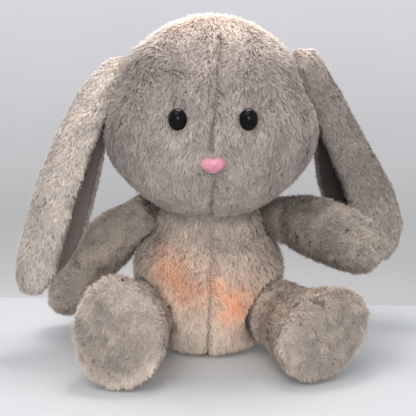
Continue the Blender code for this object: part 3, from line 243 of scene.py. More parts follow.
def remesh_form(name, nodes, voxel, relaxing):
    """The skin of the nodes taken together, remeshed and relaxed."""
    bm = bmesh.new()
    for n in nodes:
        bm.from_mesh(NODES[n].data)
    mesh = bpy.data.meshes.new(name)
    bm.to_mesh(mesh)
    bm.free()
    obj = new_object(name, mesh)
    mod = obj.modifiers.new("remesh", "REMESH")
    mod.mode = "VOXEL"
    mod.voxel_size = voxel
    applied(obj)
    keep_largest(obj.data)
    put(obj.data, relax(coords(obj.data), edges(obj.data), relaxing))
    shade_smooth(obj.data)
    return obj


def gap_to(points, tree, reach=30 * MM):
    """Distance from each point to the form in the tree, at most the reach."""
    out = np.full(len(points), reach)
    for i, p in enumerate(points):
        hit = tree.find_nearest(Vector(p), reach)
        if hit[0] is not None:
            out[i] = hit[3]
    return out


def inflate(obj, held, cap, pressure=4.0, spare=0.03):
    """Fills the cloth between its seams by a simulation. No point moves by more than the cap."""
    scene = bpy.context.scene
    start = coords(obj.data)
    group = obj.vertex_groups.new(name="held")
    for index in np.nonzero(held > 0.02)[0]:
        group.add([int(index)], float(held[index]), "REPLACE")
    mod = obj.modifiers.new("cloth", "CLOTH")
    cloth = mod.settings
    cloth.quality = 4
    cloth.mass = 0.2
    cloth.use_pressure = True
    cloth.uniform_pressure_force = pressure
    cloth.shrink_min = -spare
    cloth.vertex_group_mass = "held"
    cloth.effector_weights.gravity = 0
    mod.point_cache.frame_start = 1
    mod.point_cache.frame_end = CLOTH_FRAMES
    for step in range(1, CLOTH_FRAMES + 1):
        scene.frame_set(step)
    depsgraph = bpy.context.evaluated_depsgraph_get()
    made = obj.evaluated_get(depsgraph).to_mesh()
    move = coords(made) - start
    obj.evaluated_get(depsgraph).to_mesh_clear()
    obj.modifiers.clear()
    obj.vertex_groups.clear()
    scene.frame_set(1)
    far = np.linalg.norm(move, axis=1, keepdims=True)
    move *= np.minimum(1, cap / np.maximum(far, 1e-9))
    links = edges(obj.data)
    move = relax(move, links, 4, back=0)
    put(obj.data, relax(start + move, links, 2))


def finer(obj):
    """Halves the faces of a form."""
    mod = obj.modifiers.new("finer", "SUBSURF")
    mod.levels = 1
    mod.render_levels = 1
    applied(obj)
    shade_smooth(obj.data)


def sink(obj, tree, amount):
    """Draws the form in below the pile, less where another piece lies against it."""
    co, no = coords(obj.data), normals(obj.data)
    depth = LEAST_SINK + (amount - LEAST_SINK) * smoothstep(TOUCHING, CLEAR, gap_to(co, tree))
    put(obj.data, co - no * depth[:, None])
    put(obj.data, relax(coords(obj.data), edges(obj.data), 3))


def patch(name, form, choose, thick):
    """A panel of cloth that covers the chosen faces of a form."""
    mesh = form.data.copy()
    mesh.name = name
    obj = new_object(name, mesh)
    bm = bmesh.new()
    bm.from_mesh(mesh)
    bm.faces.ensure_lookup_table()
    at = np.array([f.calc_center_median() for f in bm.faces])
    up = np.array([f.normal for f in bm.faces])
    keep = choose(at, up)
    bmesh.ops.delete(bm, geom=[f for f, k in zip(bm.faces[:], keep) if not k], context="FACES")
    bm.to_mesh(mesh)
    bm.free()
    keep_largest(mesh)
    mod = obj.modifiers.new("thick", "SOLIDIFY")
    mod.thickness = thick
    mod.offset = 1.0
    applied(obj)
    shade_smooth(obj.data)
    return obj


def held_near(co, tree):
    """How firmly cloth is held where another piece lies against it, from 0 to 1."""
    return smoothstep(OFF_SEAM, NEAR_SEAM, gap_to(co, tree))


def groove(obj, depth, pull):
    """Draws the form in along a seam."""
    co, no = coords(obj.data), normals(obj.data)
    put(obj.data, co - no * (pull(co) * depth)[:, None])


# Materials

def material(name, colour, rough=0.6):
    mat = bpy.data.materials.new(name)
    mat.use_nodes = True
    bsdf = mat.node_tree.nodes["Principled BSDF"]
    bsdf.inputs["Base Color"].default_value = (*colour, 1)
    bsdf.inputs["Roughness"].default_value = rough
    return mat, mat.node_tree, bsdf


def srgb(r, g, b):
    """A colour given as on a screen, as the linear values that shaders take."""
    return tuple(
        c / 12.92 if c <= 0.04045 else ((c + 0.055) / 1.055) ** 2.4
        for c in (r / 255, g / 255, b / 255)
    )


def node(tree, kind, **values):
    n = tree.nodes.new(kind)
    for key, value in values.items():
        if key in n.inputs:
            n.inputs[key].default_value = value
        else:
            setattr(n, key, value)
    return n


def ramp(tree, source, stops):
    n = tree.nodes.new("ShaderNodeValToRGB")
    while len(n.color_ramp.elements) < len(stops):
        n.color_ramp.elements.new(0.5)
    for e, (at, colour) in zip(n.color_ramp.elements, stops):
        e.position = at
        e.color = (*colour, 1)
    tree.links.new(source, n.inputs["Fac"])
    return n.outputs["Color"]


def mix(tree, blend, fac, a, b):
    n = tree.nodes.new("ShaderNodeMix")
    n.data_type = "RGBA"
    n.blend_type = blend
    for socket, value in ((n.inputs[0], fac), (n.inputs[6], a), (n.inputs[7], b)):
        if hasattr(value, "links"):
            tree.links.new(value, socket)
        elif isinstance(value, (int, float)):
            socket.default_value = value
        else:
            socket.default_value = (*value, 1)
    return n.outputs[2]


def object_noise(tree, scale, detail=2.0, rough=0.5, stretch=None):
    pos = tree.nodes.new("ShaderNodeTexCoord").outputs["Object"]
    if stretch:
        m = tree.nodes.new("ShaderNodeMapping")
        m.inputs["Scale"].default_value = stretch
        tree.links.new(pos, m.inputs["Vector"])
        pos = m.outputs["Vector"]
    n = node(tree, "ShaderNodeTexNoise", Scale=scale, Detail=detail, Roughness=rough)
    tree.links.new(pos, n.inputs["Vector"])
    return n.outputs["Fac"]


def paint(tree, bsdf, source, stops, socket="Base Color"):
    tree.links.new(ramp(tree, source, stops), bsdf.inputs[socket])


def bump(tree, bsdf, height, strength, distance):
    n = node(tree, "ShaderNodeBump", Strength=strength, Distance=distance)
    tree.links.new(height, n.inputs["Height"])
    tree.links.new(n.outputs["Normal"], bsdf.inputs["Normal"])


def attribute(tree, name):
    n = tree.nodes.new("ShaderNodeAttribute")
    n.attribute_name = name
    return n.outputs["Fac"]


def glowing(tree, bsdf, colour, light):
    """Painted light of the lamps inside: warms a colour and lets it glow by the attribute glow."""
    glow = attribute(tree, "glow")
    warm = ramp(tree, glow, ((0.0, (1.0, 1.0, 1.0)), (0.4, (0.84, 0.48, 0.22))))
    bsdf.inputs["Emission Color"].default_value = (*light, 1)
    tree.links.new(glow, bsdf.inputs["Emission Strength"])
    return mix(tree, "MULTIPLY", 1.0, colour, warm)


def pile_material(name, root, middle, tip, glows=False):
    """Fur strands, dark at the root and pale at the tip, in tufts of differing tone, lighter or darker by
    painted light and shade.

    The colours are given as on a screen.
    """
    root, middle, tip = srgb(*root), srgb(*middle), srgb(*tip)
    mat, tree, bsdf = material(name, middle, 0.78)
    colour = ramp(tree, attribute(tree, "along"), ((0.0, root), (0.45, middle), (1.0, tip)))
    # the attribute holds the strands' random tone and their painted light and shade
    shade = ramp(tree, attribute(tree, "shade"),
                 ((0.0, (0.70, 0.69, 0.68)), (0.5, (1.0, 1.0, 1.0)), (1.0, (1.30, 1.29, 1.27))))
    colour = mix(tree, "MULTIPLY", 1.0, colour, shade)
    cloud = ramp(tree, object_noise(tree, 55, 3.0),
                 ((0.30, (0.86, 0.85, 0.845)), (0.70, (1.10, 1.09, 1.08))))
    colour = mix(tree, "MULTIPLY", 1.0, colour, cloud)
    if glows:
        colour = glowing(tree, bsdf, colour, srgb(255, 138, 66))
    tree.links.new(colour, bsdf.inputs["Base Color"])
    bsdf.inputs["Sheen Weight"].default_value = 0.25
    bsdf.inputs["Sheen Roughness"].default_value = 0.5
    bsdf.inputs["Specular IOR Level"].default_value = 0.25
    through = tree.nodes.new("ShaderNodeBsdfTranslucent")
    tree.links.new(colour, through.inputs["Color"])
    both = node(tree, "ShaderNodeMixShader", Fac=THROUGH)
    tree.links.new(bsdf.outputs["BSDF"], both.inputs[1])
    tree.links.new(through.outputs["BSDF"], both.inputs[2])
    tree.links.new(both.outputs["Shader"], tree.nodes["Material Output"].inputs["Surface"])
    return mat


def backing_material(name, colour, glows=False):
    """The knitted backing and short undercoat that show between the strands."""
    mat, tree, bsdf = material(name, colour, 0.9)
    dark = tuple(c * 0.80 for c in colour)
    fleck = object_noise(tree, 900, 2.0, 0.6)
    tone = ramp(tree, fleck, ((0.35, dark), (0.65, colour)))
    if glows:
        tone = glowing(tree, bsdf, tone, srgb(255, 118, 40))
    tree.links.new(tone, bsdf.inputs["Base Color"])
    bump(tree, bsdf, fleck, 0.6, 0.0006)
    return mat


# Pile

def sample(obj, count, rng):
    """Random points spread evenly over a form, and its normals there."""
    mesh = obj.data
    mesh.calc_loop_triangles()
    tri = np.empty(len(mesh.loop_triangles) * 3, np.int64)
    mesh.loop_triangles.foreach_get("vertices", tri)
    tri = tri.reshape(-1, 3)
    co, no = coords(mesh), normals(mesh)
    a, b, c = (co[tri[:, k]] for k in range(3))
    area = np.linalg.norm(np.cross(b - a, c - a), axis=1)
    pick = np.searchsorted(np.cumsum(area) / area.sum(), rng.random(count))
    u, v = rng.random(count), rng.random(count)
    over = u + v > 1
    u[over], v[over] = 1 - u[over], 1 - v[over]
    w = 1 - u - v
    t = tri[pick]
    at = co[t[:, 0]] * w[:, None] + co[t[:, 1]] * u[:, None] + co[t[:, 2]] * v[:, None]
    up = unit(no[t[:, 0]] * w[:, None] + no[t[:, 1]] * u[:, None] + no[t[:, 2]] * v[:, None])
    return at, up


def strand_mesh(name, verts):
    """A quad and a triangle on the five points of each strand: two at its root, two midway and its tip."""
    index = np.arange(len(verts) // 5)[:, None]
    loops = (index * 5 + np.array([0, 1, 3, 2, 2, 3, 4])).ravel()
    starts = (index * 7 + np.array([0, 4])).ravel()
    mesh = bpy.data.meshes.new(name)
    mesh.vertices.add(len(verts))
    mesh.vertices.foreach_set("co", verts.astype(np.float32).ravel())
    mesh.loops.add(len(loops))
    mesh.loops.foreach_set("vertex_index", loops.astype(np.int32))
    mesh.polygons.add(len(starts))
    mesh.polygons.foreach_set("loop_start", starts.astype(np.int32))
    mesh.polygons.foreach_set("use_smooth", [True] * len(starts))
    mesh.update(calc_edges=True)
    return mesh


def pile(name, body, form, count, mat, flow, seed, length=5.6 * MM, width=0.62 * MM, trim=None, part=None,
         lean=(52, 80), stray=0.32, tuft=0.75, glow=None, near=None, shade=None):
    """Strands rooted on a form that lean along the flow and end in soft tufts.

    Lean is the angle in degrees from the skin's normal, of a strand's lower and upper half.
    Stray turns single strands aside, and tuft draws neighbours together.
    Near is the tree of what lies against the form, where the strands get shorter and darker by painted shade.
    """
    rng = np.random.default_rng(seed)
    at, up = sample(form, count, rng)
    if part is not None:
        keep = part(at, up)
        at, up = at[keep], up[keep]
    size = 1 + 0.28 * (rng.random(len(at)) * 2 - 1)
    if trim is not None:
        size = size * trim(at, up, rng)
    open_air = np.full(len(at), OPEN_REACH) if near is None else gap_to(at, near, OPEN_REACH)
    size = size * (0.18 + 0.82 * smoothstep(1.0 * MM, 6.0 * MM, open_air))
    keep = size > SHORTEST
    at, up, size, open_air = at[keep], up[keep], size[keep], open_air[keep]
    n = len(at)
    way = flow(at, up)
    way = way + 0.45 * noise3(at, 22 * MM, seed + 5) + 0.45 * noise3(at, 7 * MM, seed + 9)
    way = way + stray * rng.normal(size=(n, 3))
    way = unit(way - up * (way * up).sum(1, keepdims=True))
    drift = tuft * noise3(at, 2.6 * MM, seed + 31)
    drift = drift - up * (drift * up).sum(1, keepdims=True)
    spread = rng.normal(size=n) * 9  # degrees
    low = np.radians(lean[0] + spread)[:, None]
    high = np.radians(np.clip(lean[1] + spread * 1.3 + 10 * noise(at, 5 * MM, seed + 3), 10, 88))[:, None]
    span = (length * size)[:, None]
    mid = at + span * 0.5 * (up * np.cos(low) + unit(way + 0.4 * drift) * np.sin(low))
    end = mid + span * 0.5 * (up * np.cos(high) + unit(way + drift) * np.sin(high))
    side = unit(np.cross(way, up) + 0.5 * up * rng.normal(size=(n, 1)))
    half = (width * 0.5 * (0.75 + 0.5 * rng.random(n)))[:, None] * side
    root = at - up * 0.3 * MM
    verts = np.stack([root - half * 0.8, root + half * 0.8, mid - half, mid + half, end], 1).reshape(-1, 3)
    verts[:, 2] = np.maximum(verts[:, 2], ABOVE_FLOOR)
    mesh = strand_mesh(name, verts)
    tone = 0.5 + 0.22 * rng.normal(size=n) + 0.16 * noise(at, 2.2 * MM, seed + 40)
    tone = tone + 0.12 * noise(at, 9 * MM, seed + 50) + 0.20 * noise(at * STREAK, 1.7 * MM, seed + 60)
    # painted shade: strands darken where another piece lies close
    tone = tone - 0.42 * smoothstep(9.0 * MM, 2.0 * MM, open_air)
    # painted light and shade that the part asks for
    if shade is not None:
        tone = tone + shade(at, up)
    put_attribute(mesh, "along", np.tile([0, 0, 0.5, 0.5, 1.0], n))
    put_attribute(mesh, "shade", np.repeat(np.clip(tone, 0, 1), 5))
    if glow is not None:
        put_attribute(mesh, "glow", glow(verts))
    own = unit(np.cross(side, unit(end - at)))
    own = own * np.sign((own * up).sum(1, keepdims=True))
    face = unit(up * 0.8 + own * 0.45)  # between the skin's normal and the strand's own
    mesh.normals_split_custom_set_from_vertices(np.repeat(face, 5, 0).tolist())
    mesh.materials.append(mat)
    obj = new_object(name, mesh)
    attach(obj, body)
    print(name, n, "strands")
    return obj


# Camera

PHOTO_WIDTH = 416  # pixels

camera_data = bpy.data.cameras.new("camera")
camera_data.sensor_width = 36.0
camera_data.lens = 69.23
camera_data.shift_x = -1 / PHOTO_WIDTH
camera_data.clip_start = 0.01
camera = bpy.data.objects.new("camera", camera_data)
camera.location = (0, -0.603, 0.2126)
camera.rotation_euler = (math.radians(80), 0, 0)
bpy.context.scene.collection.objects.link(camera)
bpy.context.scene.camera = camera


# Floor and backdrop

HALF_WIDTH = 1.6
ASKEW = 0.0728  # slope of the floor's far edge against the X axis
FLOOR_END = 0.1067
BEND_AT, BEND_RADIUS, WALL_TOP = 0.5, 0.6, 1.8


def strip(name, rows):
    """A sheet of paper through the given rows of (y, z)."""
    mesh = bpy.data.meshes.new(name)
    verts = []
    for y, z in rows:
        verts += [(-HALF_WIDTH, y + ASKEW * HALF_WIDTH, z), (HALF_WIDTH, y - ASKEW * HALF_WIDTH, z)]
    faces = [(2 * i, 2 * i + 1, 2 * i + 3, 2 * i + 2) for i in range(len(rows) - 1)]
    mesh.from_pydata(verts, [], faces)
    shade_smooth(mesh)
    obj = new_object(name, mesh)
    return obj


floor = strip("floor", [(-HALF_WIDTH, 0), (FLOOR_END, 0)])
bend = [(FLOOR_END, 0), (BEND_AT, 0)]
for turn in range(6, 91, 6):
    angle = math.radians(turn)
    bend.append((BEND_AT + BEND_RADIUS * math.sin(angle), BEND_RADIUS - BEND_RADIUS * math.cos(angle)))
bend.append((BEND_AT + BEND_RADIUS, WALL_TOP))
backdrop = strip("backdrop", bend)

for obj, low, high in ((floor, srgb(212, 214, 215), srgb(212, 214, 215)),
                       (backdrop, srgb(198, 197, 196), srgb(230, 228, 233))):
    mat, tree, bsdf = material("paper_" + obj.name, low, 0.7)
    cloud = object_noise(tree, 3.0, 2.0)
    tone = ramp(tree, cloud, ((0.3, (0.97, 0.97, 0.97)), (0.7, (1.0, 1.0, 1.0))))
    place = tree.nodes.new("ShaderNodeTexCoord").outputs["Object"]
    parts = tree.nodes.new("ShaderNodeSeparateXYZ")
    tree.links.new(place, parts.inputs["Vector"])
    # painted light: the backdrop grows paler with height; the floor keeps one colour
    painted_light_rise = ramp(tree, parts.outputs["Z"], ((0.0, low), (0.42, high)))
    tone = mix(tree, "MULTIPLY", 1.0, painted_light_rise, tone)
    tree.links.new(tone, bsdf.inputs["Base Color"])
    grain = object_noise(tree, 700, 2.0)
    bump(tree, bsdf, grain, 0.05, 0.0003)
    bsdf.inputs["Specular IOR Level"].default_value = 0.2
    obj.data.materials.append(mat)


# Light

def lamp(name, place, target, size, power, colour, spread=180):
    """A round area lamp that shines from its place to the target."""
    data = bpy.data.lights.new(name, "AREA")
    data.spread = math.radians(spread)
    data.shape = "DISK"
    data.size = size
    data.energy = power
    data.color = colour
    obj = bpy.data.objects.new(name, data)
    obj.location = place
    obj.rotation_euler = (Vector(target) - Vector(place)).to_track_quat("-Z", "Y").to_euler()
    bpy.context.scene.collection.objects.link(obj)


lamp("key", (-0.50, -1.05, 1.9), (0, 0, 0.1), 1.5, 13.0, (1.0, 0.98, 0.965))
lamp("front", (0.1, -2.2, 0.65), (0, 0, 0.08), 1.0, 15.0, (1.0, 0.985, 0.97))
lamp("top", (0.01, 0.0, 0.39), (0, -0.01, 0.2), 0.2, 0.34, (1.0, 0.95, 0.935), 90)
world = bpy.data.worlds.new("world")
world.use_nodes = True
world.node_tree.nodes["Background"].inputs["Color"].default_value = (0.92, 0.95, 1.0, 1)
world.node_tree.nodes["Background"].inputs["Strength"].default_value = 0.72
bpy.context.scene.world = world


# Finishes

fur_head = pile_material("fur_head", (146, 137, 130), (196, 186, 179), (232, 223, 216))
fur_body = pile_material("fur_body", (172, 162, 152), (222, 210, 199), (250, 240, 229), glows=True)
fur_arm = pile_material("fur_arm", (106, 98, 91), (170, 160, 150), (228, 218, 208))
fur_leg = pile_material("fur_leg", (166, 156, 146), (206, 195, 184), (238, 227, 217))
# painted shade: the right ear's fur has darker colours than the left one's
fur_ears = {"left": pile_material("fur_ear_left", (160, 151, 143), (214, 205, 197), (246, 238, 230)),
            "right": pile_material("fur_ear_right", (138, 129, 122), (188, 178, 170), (226, 216, 208))}
backing = backing_material("backing", srgb(156, 146, 137))
backing_glow = backing_material("backing_glow", srgb(172, 161, 151), glows=True)


def flow_down(at, up):
    return np.tile(DOWN, (len(at), 1))


def seam_line(points):
    """Distance in X from a line of (x, z) points in millimetres, and whether it reaches there."""
    xs = np.array([p[0] for p in points]) * MM
    zs = np.array([p[1] for p in points]) * MM

    def measure(at):
        x = np.interp(at[:, 2], zs[::-1], xs[::-1])
        x = x + 0.5 * MM * noise(at, 11 * MM, 77)
        return at[:, 0] - x, (at[:, 2] > zs.min()) & (at[:, 2] < zs.max())

    return measure


# Head

HEAD_NEAR = node_tree(["torso_skin", "arm_skin_left", "arm_skin_right", "ear_fur_left", "ear_fur_right",
                       "ear_lining_left", "ear_lining_right"])
head = cast_form("plush_head", ["head_skin", "head_filling"], 5, (0, -0.012, 0.178), 8)
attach(head, "head")
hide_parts("head_skin", "head_filling")

face_seam = seam_line([(6.4, 236), (6.2, 229), (5.4, 216), (4.2, 204),
                       (3.0, 192), (2.2, 182), (1.6, 171), (1.3, 160)])
chin_seam = seam_line([(4.6, 145), (3.4, 136), (1.6, 124), (0.8, 112)])
EYES = ((-20.6, 179.2), (26.0, 178.6))  # X and Z in millimetres, as of the nose
NOSE = (2.6, 149.8)
# X, Z, turn to the side and radius, with the lengths in millimetres
SWIRLS = ((-26, 212, 1.5, 12), (22, 224, -0.7, 10), (-44, 188, 0.8, 14), (38, 150, -0.8, 14))
BACK_AT = -10 * MM  # where the pile of the back of the head begins


def on_face(at):
    """Whether points lie on the front of the head, where the eyes and the nose are."""
    return at[:, 1] < -20 * MM


def crown_gap(at):
    """Distance in Y from the seam that runs over the head from ear to ear."""
    x = at[:, 0] / (80 * MM)
    return at[:, 1] - (-13 * MM - 8 * MM * x * x + 0.7 * MM * noise(at, 14 * MM, 61))


def head_seams(at):
    """How near a point is to a seam, from 0 to 1."""
    total = bell(crown_gap(at), 1.5 * MM) * (at[:, 2] > 185 * MM)
    for line in (face_seam, chin_seam):
        dx, inside = line(at)
        total = np.maximum(total, bell(dx, 1.5 * MM) * inside * on_face(at))
    return total


co = coords(head.data)
inflate(head, np.maximum(head_seams(co), held_near(co, HEAD_NEAR)), 1.6 * MM)
finer(head)
sink(head, HEAD_NEAR, PILE_ROOT)
groove(head, 2.3 * MM, head_seams)
head.data.materials.append(backing)


def head_flow(at, up):
    """Parts at the seams, falls to front and back from the crown, and swirls at four places."""
    way = flow_down(at, up)
    for line in (face_seam, chin_seam):
        dx, inside = line(at)
        near = bell(dx, 4 * MM) * inside * on_face(at)
        way[:, 0] += 0.8 * np.sign(dx) * near
    gap = crown_gap(at)
    top = bell(gap, 5 * MM) * (at[:, 2] > 200 * MM)
    way[:, 1] += 1.2 * np.sign(gap) * top
    back = smoothstep(-6 * MM, 6 * MM, gap) * smoothstep(215 * MM, 240 * MM, at[:, 2])
    way[:, 1] += 1.4 * back
    front = smoothstep(6 * MM, -6 * MM, gap) * smoothstep(225 * MM, 245 * MM, at[:, 2])
    way[:, 1] -= 1.0 * front
    for x, z, turn, radius in SWIRLS:
        d2 = ((at[:, 0] - x * MM) ** 2 + (at[:, 2] - z * MM) ** 2) / (radius * MM) ** 2
        way[:, 0] += turn * np.exp(-d2) * (at[:, 1] < 0)
    return way


def head_trim(at, up, rng):
    """Shorter strands in the seams and round the eyes and the nose."""
    front = on_face(at)
    size = 1 - 0.8 * head_seams(at) * (0.7 + 0.6 * rng.random(len(at)))
    for x, z in EYES:
        r = np.hypot(at[:, 0] - x * MM, at[:, 2] - z * MM)
        size *= np.where(front, smoothstep(6.0 * MM, 10.5 * MM, r) * 0.8 + 0.2 * (r > 6.6 * MM), 1)
    nx, nz = (at[:, 0] - NOSE[0] * MM) / (8.2 * MM), (at[:, 2] - NOSE[1] * MM) / (5.2 * MM)
    r = np.hypot(nx, nz)
    size *= np.where(front, smoothstep(0.85, 1.6, r) * 0.8 + 0.2 * (r > 0.9), 1)
    return size


def head_painted_light(at, up):
    """Painted light on the crown, painted shade in the face seam, and painted shade on the brow and the left
    cheek, where the pile turns.
    """
    brow = bell(at[:, 2] - 205 * MM, 17 * MM) * (at[:, 1] < 0)
    cheek = np.exp(-(((at[:, 0] + 62 * MM) / (18 * MM)) ** 2 + ((at[:, 2] - 165 * MM) / (22 * MM)) ** 2))
    top = smoothstep(226 * MM, 243 * MM, at[:, 2])
    dx, inside = face_seam(at)
    seam = bell(dx, 2.2 * MM) * inside * on_face(at)
    return 0.58 * top - 0.38 * brow - 0.30 * cheek - 0.04 - 0.5 * seam


for name, key, seed, part in (
    ("fur_head_left", "head", 11, lambda at, up: (at[:, 1] < BACK_AT) & (at[:, 0] < 0)),
    ("fur_head_right", "head", 12, lambda at, up: (at[:, 1] < BACK_AT) & (at[:, 0] >= 0)),
    ("fur_head_back", "head_back", 13, lambda at, up: at[:, 1] >= BACK_AT),
):
    pile(name, "head", head, STRANDS[key], fur_head, head_flow, seed=seed, trim=head_trim, part=part,
         near=HEAD_NEAR, stray=0.22, tuft=0.6, width=0.5 * MM, shade=head_painted_light)


# Ears

EAR_VOXEL = 1.3 * MM

for side, name in SIDES:
    body = "ear_" + name
    near = node_tree(["head_skin", "arm_skin_" + name])
    outer = remesh_form("plush_ear_" + name, ["ear_fur_" + name], EAR_VOXEL, 10)
    inner = remesh_form("lining_ear_" + name, ["ear_lining_" + name], EAR_VOXEL, 10)
    inner_tree = node_tree(["ear_lining_" + name])
    outer.data.materials.append(backing)
    for piece, of in ((outer, "ear_fur_"), (inner, "ear_lining_")):
        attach(piece, body)
        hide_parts(of + name)

    def ear_flow(at, up):
        way = flow_down(at, up)
        way[:, 0] += side * 0.5 * smoothstep(100 * MM, 215 * MM, at[:, 2])
        return way

    def ear_part(at, up):
        """Leaves the face bare that lies on the lining."""
        return np.array([inner_tree.ray_cast(Vector(a + u * 0.2 * MM), Vector(u), 3.2 * MM)[0] is None
                         for a, u in zip(at, up)])

    def ear_painted_shade(at, up):
        """Painted shade: the right ear is darker between its root and its tip, the left one a little paler.
        """
        dark = smoothstep(85 * MM, 130 * MM, at[:, 2]) * smoothstep(222 * MM, 200 * MM, at[:, 2])
        return 0.18 - 0.5 * dark if side > 0 else 0.06

    pile("fur_ear_" + name, body, outer, STRANDS["ear"], fur_ears[name], ear_flow, seed=20 + side,
         part=ear_part, near=near, length=4.6 * MM, lean=(52, 82), shade=ear_painted_shade)
    lining_painted_shade = 1.0 if side < 0 else 0.55  # painted shade: the right lining is the darker one
    mat, tree, bsdf = material("lining_" + name, srgb(126, 115, 110), 0.82)
    weave = object_noise(tree, 1400, 2.0, 0.6)
    tone = ramp(tree, weave, ((0.3, srgb(112 * lining_painted_shade, 101 * lining_painted_shade, 96 * lining_painted_shade)),
                              (0.7, srgb(142 * lining_painted_shade, 130 * lining_painted_shade, 124 * lining_painted_shade))))
    soft = ramp(tree, object_noise(tree, 40, 3.0), ((0.3, (0.86, 0.86, 0.86)), (0.7, (1.06, 1.06, 1.06))))
    tree.links.new(mix(tree, "MULTIPLY", 1.0, tone, soft), bsdf.inputs["Base Color"])
    bsdf.inputs["Sheen Weight"].default_value = 0.35
    bump(tree, bsdf, weave, 0.35, 0.0004)
    inner.data.materials.append(mat)


# Torso

TORSO_NEAR = node_tree(["head_skin", "arm_skin_left", "arm_skin_right", "leg_skin_left", "leg_skin_right",
                        "tail", "back_flap", "hook_tape"])
torso = cast_form("plush_torso", ["torso_skin", "torso_filling", "battery_case"], 5, (0, 0, 0.062), 0)
POCKET_LOW = np.array([-19.3, 16.9, 33.6]) * MM
POCKET_HIGH = np.array([19.3, 80.0, 95.5]) * MM
STUFFING_TO = 0.037  # the panel of stuffing lines the opening as far out as this Y


def in_pocket(at, spare=0.0):
    """Whether points lie within the opening that the battery case stands in."""
    low = POCKET_LOW - spare
    high = POCKET_HIGH + spare
    return ((at > low) & (at < high)).all(axis=1)


# The skin is drawn over the opening like a membrane before the opening is cut.
co, links = coords(torso.data), edges(torso.data)
free = in_pocket(co, 2.5 * MM)
for step in range(300):
    co[free] = neighbour_mean(co, links)[free]
put(torso.data, relax(co, links, 8))

# Painted light: spots where the lamps inside shine through the belly.
# X, Z, width and height in millimetres, and strength
GLOWS = ((-28, 70, 13, 14, 0.11), (-14, 54, 12, 11, 0.13), (-21, 61, 22, 23, 0.05), (8, 57, 8, 8, 0.13),
         (26, 44, 13, 12, 0.09), (13, 38, 11, 13, 0.10), (18, 50, 20, 24, 0.05))


def glow_at(points):
    """How strongly each lamp spot shows through the belly."""
    p = points / MM
    total = np.zeros(len(p))
    for x, z, wide, tall, strength in GLOWS:
        total += strength * np.exp(-(((p[:, 0] - x) / wide) ** 2 + ((p[:, 2] - z) / tall) ** 2))
    total = total * (0.85 + 0.3 * noise(points, 6 * MM, 99)) * smoothstep(-15, -32, p[:, 1])
    return np.clip(total, 0, 1)


belly_seam = seam_line([(0.9, 131), (0.7, 112), (1.4, 84), (1.2, 60), (0.2, 40), (-1.3, 20), (-1.5, 4)])


def near_belly_seam(at, width):
    """How near a point is to the seam, from 0 to 1."""
    return bell(belly_seam(at)[0], width) * (at[:, 1] < 0)


co = coords(torso.data)
held = np.maximum(held_near(co, TORSO_NEAR), smoothstep(3 * MM, 0, co[:, 2]))
inflate(torso, np.maximum(held, near_belly_seam(co, 2.2 * MM)), 1.8 * MM)
finer(torso)
sink(torso, TORSO_NEAR, PILE_ROOT)
groove(torso, 1.3 * MM, lambda at: near_belly_seam(at, 1.7 * MM) * smoothstep(3 * MM, 14 * MM, at[:, 2]))

bm = bmesh.new()
bmesh.ops.create_cube(bm, size=1.0)
for v in bm.verts:
    v.co = Vector((POCKET_LOW + POCKET_HIGH) / 2 + np.array(v.co) * (POCKET_HIGH - POCKET_LOW))
bmesh.ops.bevel(bm, geom=bm.edges[:], offset=2.2 * MM, segments=4, affect="EDGES", profile=0.5)
pocket_mesh = bpy.data.meshes.new("pocket")
bm.to_mesh(pocket_mesh)
bm.free()
pocket = new_object("pocket", pocket_mesh)
cut = torso.modifiers.new("opening", "BOOLEAN")
cut.operation = "DIFFERENCE"
cut.solver = "EXACT"
cut.object = pocket
applied(torso)
bpy.data.objects.remove(pocket)
shade_smooth(torso.data)
put_attribute(torso.data, "glow", glow_at(coords(torso.data)))
torso.data.materials.append(backing_glow)
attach(torso, "torso")
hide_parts("torso_skin")


def torso_flow(at, up):
    way = flow_down(at, up)
    way[:, 0] += 0.9 * np.sign(belly_seam(at)[0]) * near_belly_seam(at, 4 * MM)
    return way


def torso_trim(at, up, rng):
    """Shorter strands in the seam and next to the floor."""
    deep = near_belly_seam(at, 1.4 * MM) * smoothstep(3 * MM, 12 * MM, at[:, 2])
    size = 1 - 0.9 * deep * (0.75 + 0.5 * rng.random(len(at)))
    return size * smoothstep(-0.5 * MM, 3 * MM, at[:, 2])


def belly_painted_light(at, up):
    """Painted light: paler towards the floor, which lights it from below."""
    return 0.52 * smoothstep(72 * MM, 34 * MM, at[:, 2]) * (at[:, 1] < 0)


pile("fur_torso_front", "torso", torso, STRANDS["torso_front"], fur_body, torso_flow, seed=31,
     trim=torso_trim, part=lambda at, up: at[:, 1] < 0, near=TORSO_NEAR, glow=glow_at, shade=belly_painted_light)
pile("fur_torso_back", "torso", torso, STRANDS["torso_back"], fur_body, torso_flow, seed=32,
     trim=torso_trim, part=lambda at, up: (at[:, 1] >= 0) & ~in_pocket(at, 1.6 * MM), near=TORSO_NEAR,
     glow=glow_at)

stuffing_mat, tree, bsdf = material("stuffing", srgb(236, 236, 233), 0.95)
fluff = object_noise(tree, 420, 6.0, 0.7)
paint(tree, bsdf, fluff, ((0.3, srgb(198, 198, 195)), (0.65, srgb(244, 244, 241))))
bsdf.inputs["Sheen Weight"].default_value = 0.4
bump(tree, bsdf, fluff, 0.9, 0.0012)
stuffing = patch("stuffing_torso", torso, lambda at, up: in_pocket(at, 0.05 * MM) & (at[:, 1] < STUFFING_TO),
                 0.4 * MM)
stuffing.data.materials[0] = stuffing_mat
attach(stuffing, "torso")
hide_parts("torso_filling")


# Arms and legs

ARM_PIVOT = np.array([0.0507, 0, 0.1])  # on the right, as of the legs
LEG_PIVOT = np.array([0.0511, -0.0272, 0.031])
LIMB_VOXEL = 1.9 * MM
SOLE_RIM = 0.62  # how far a face is turned to the sole where the panel ends

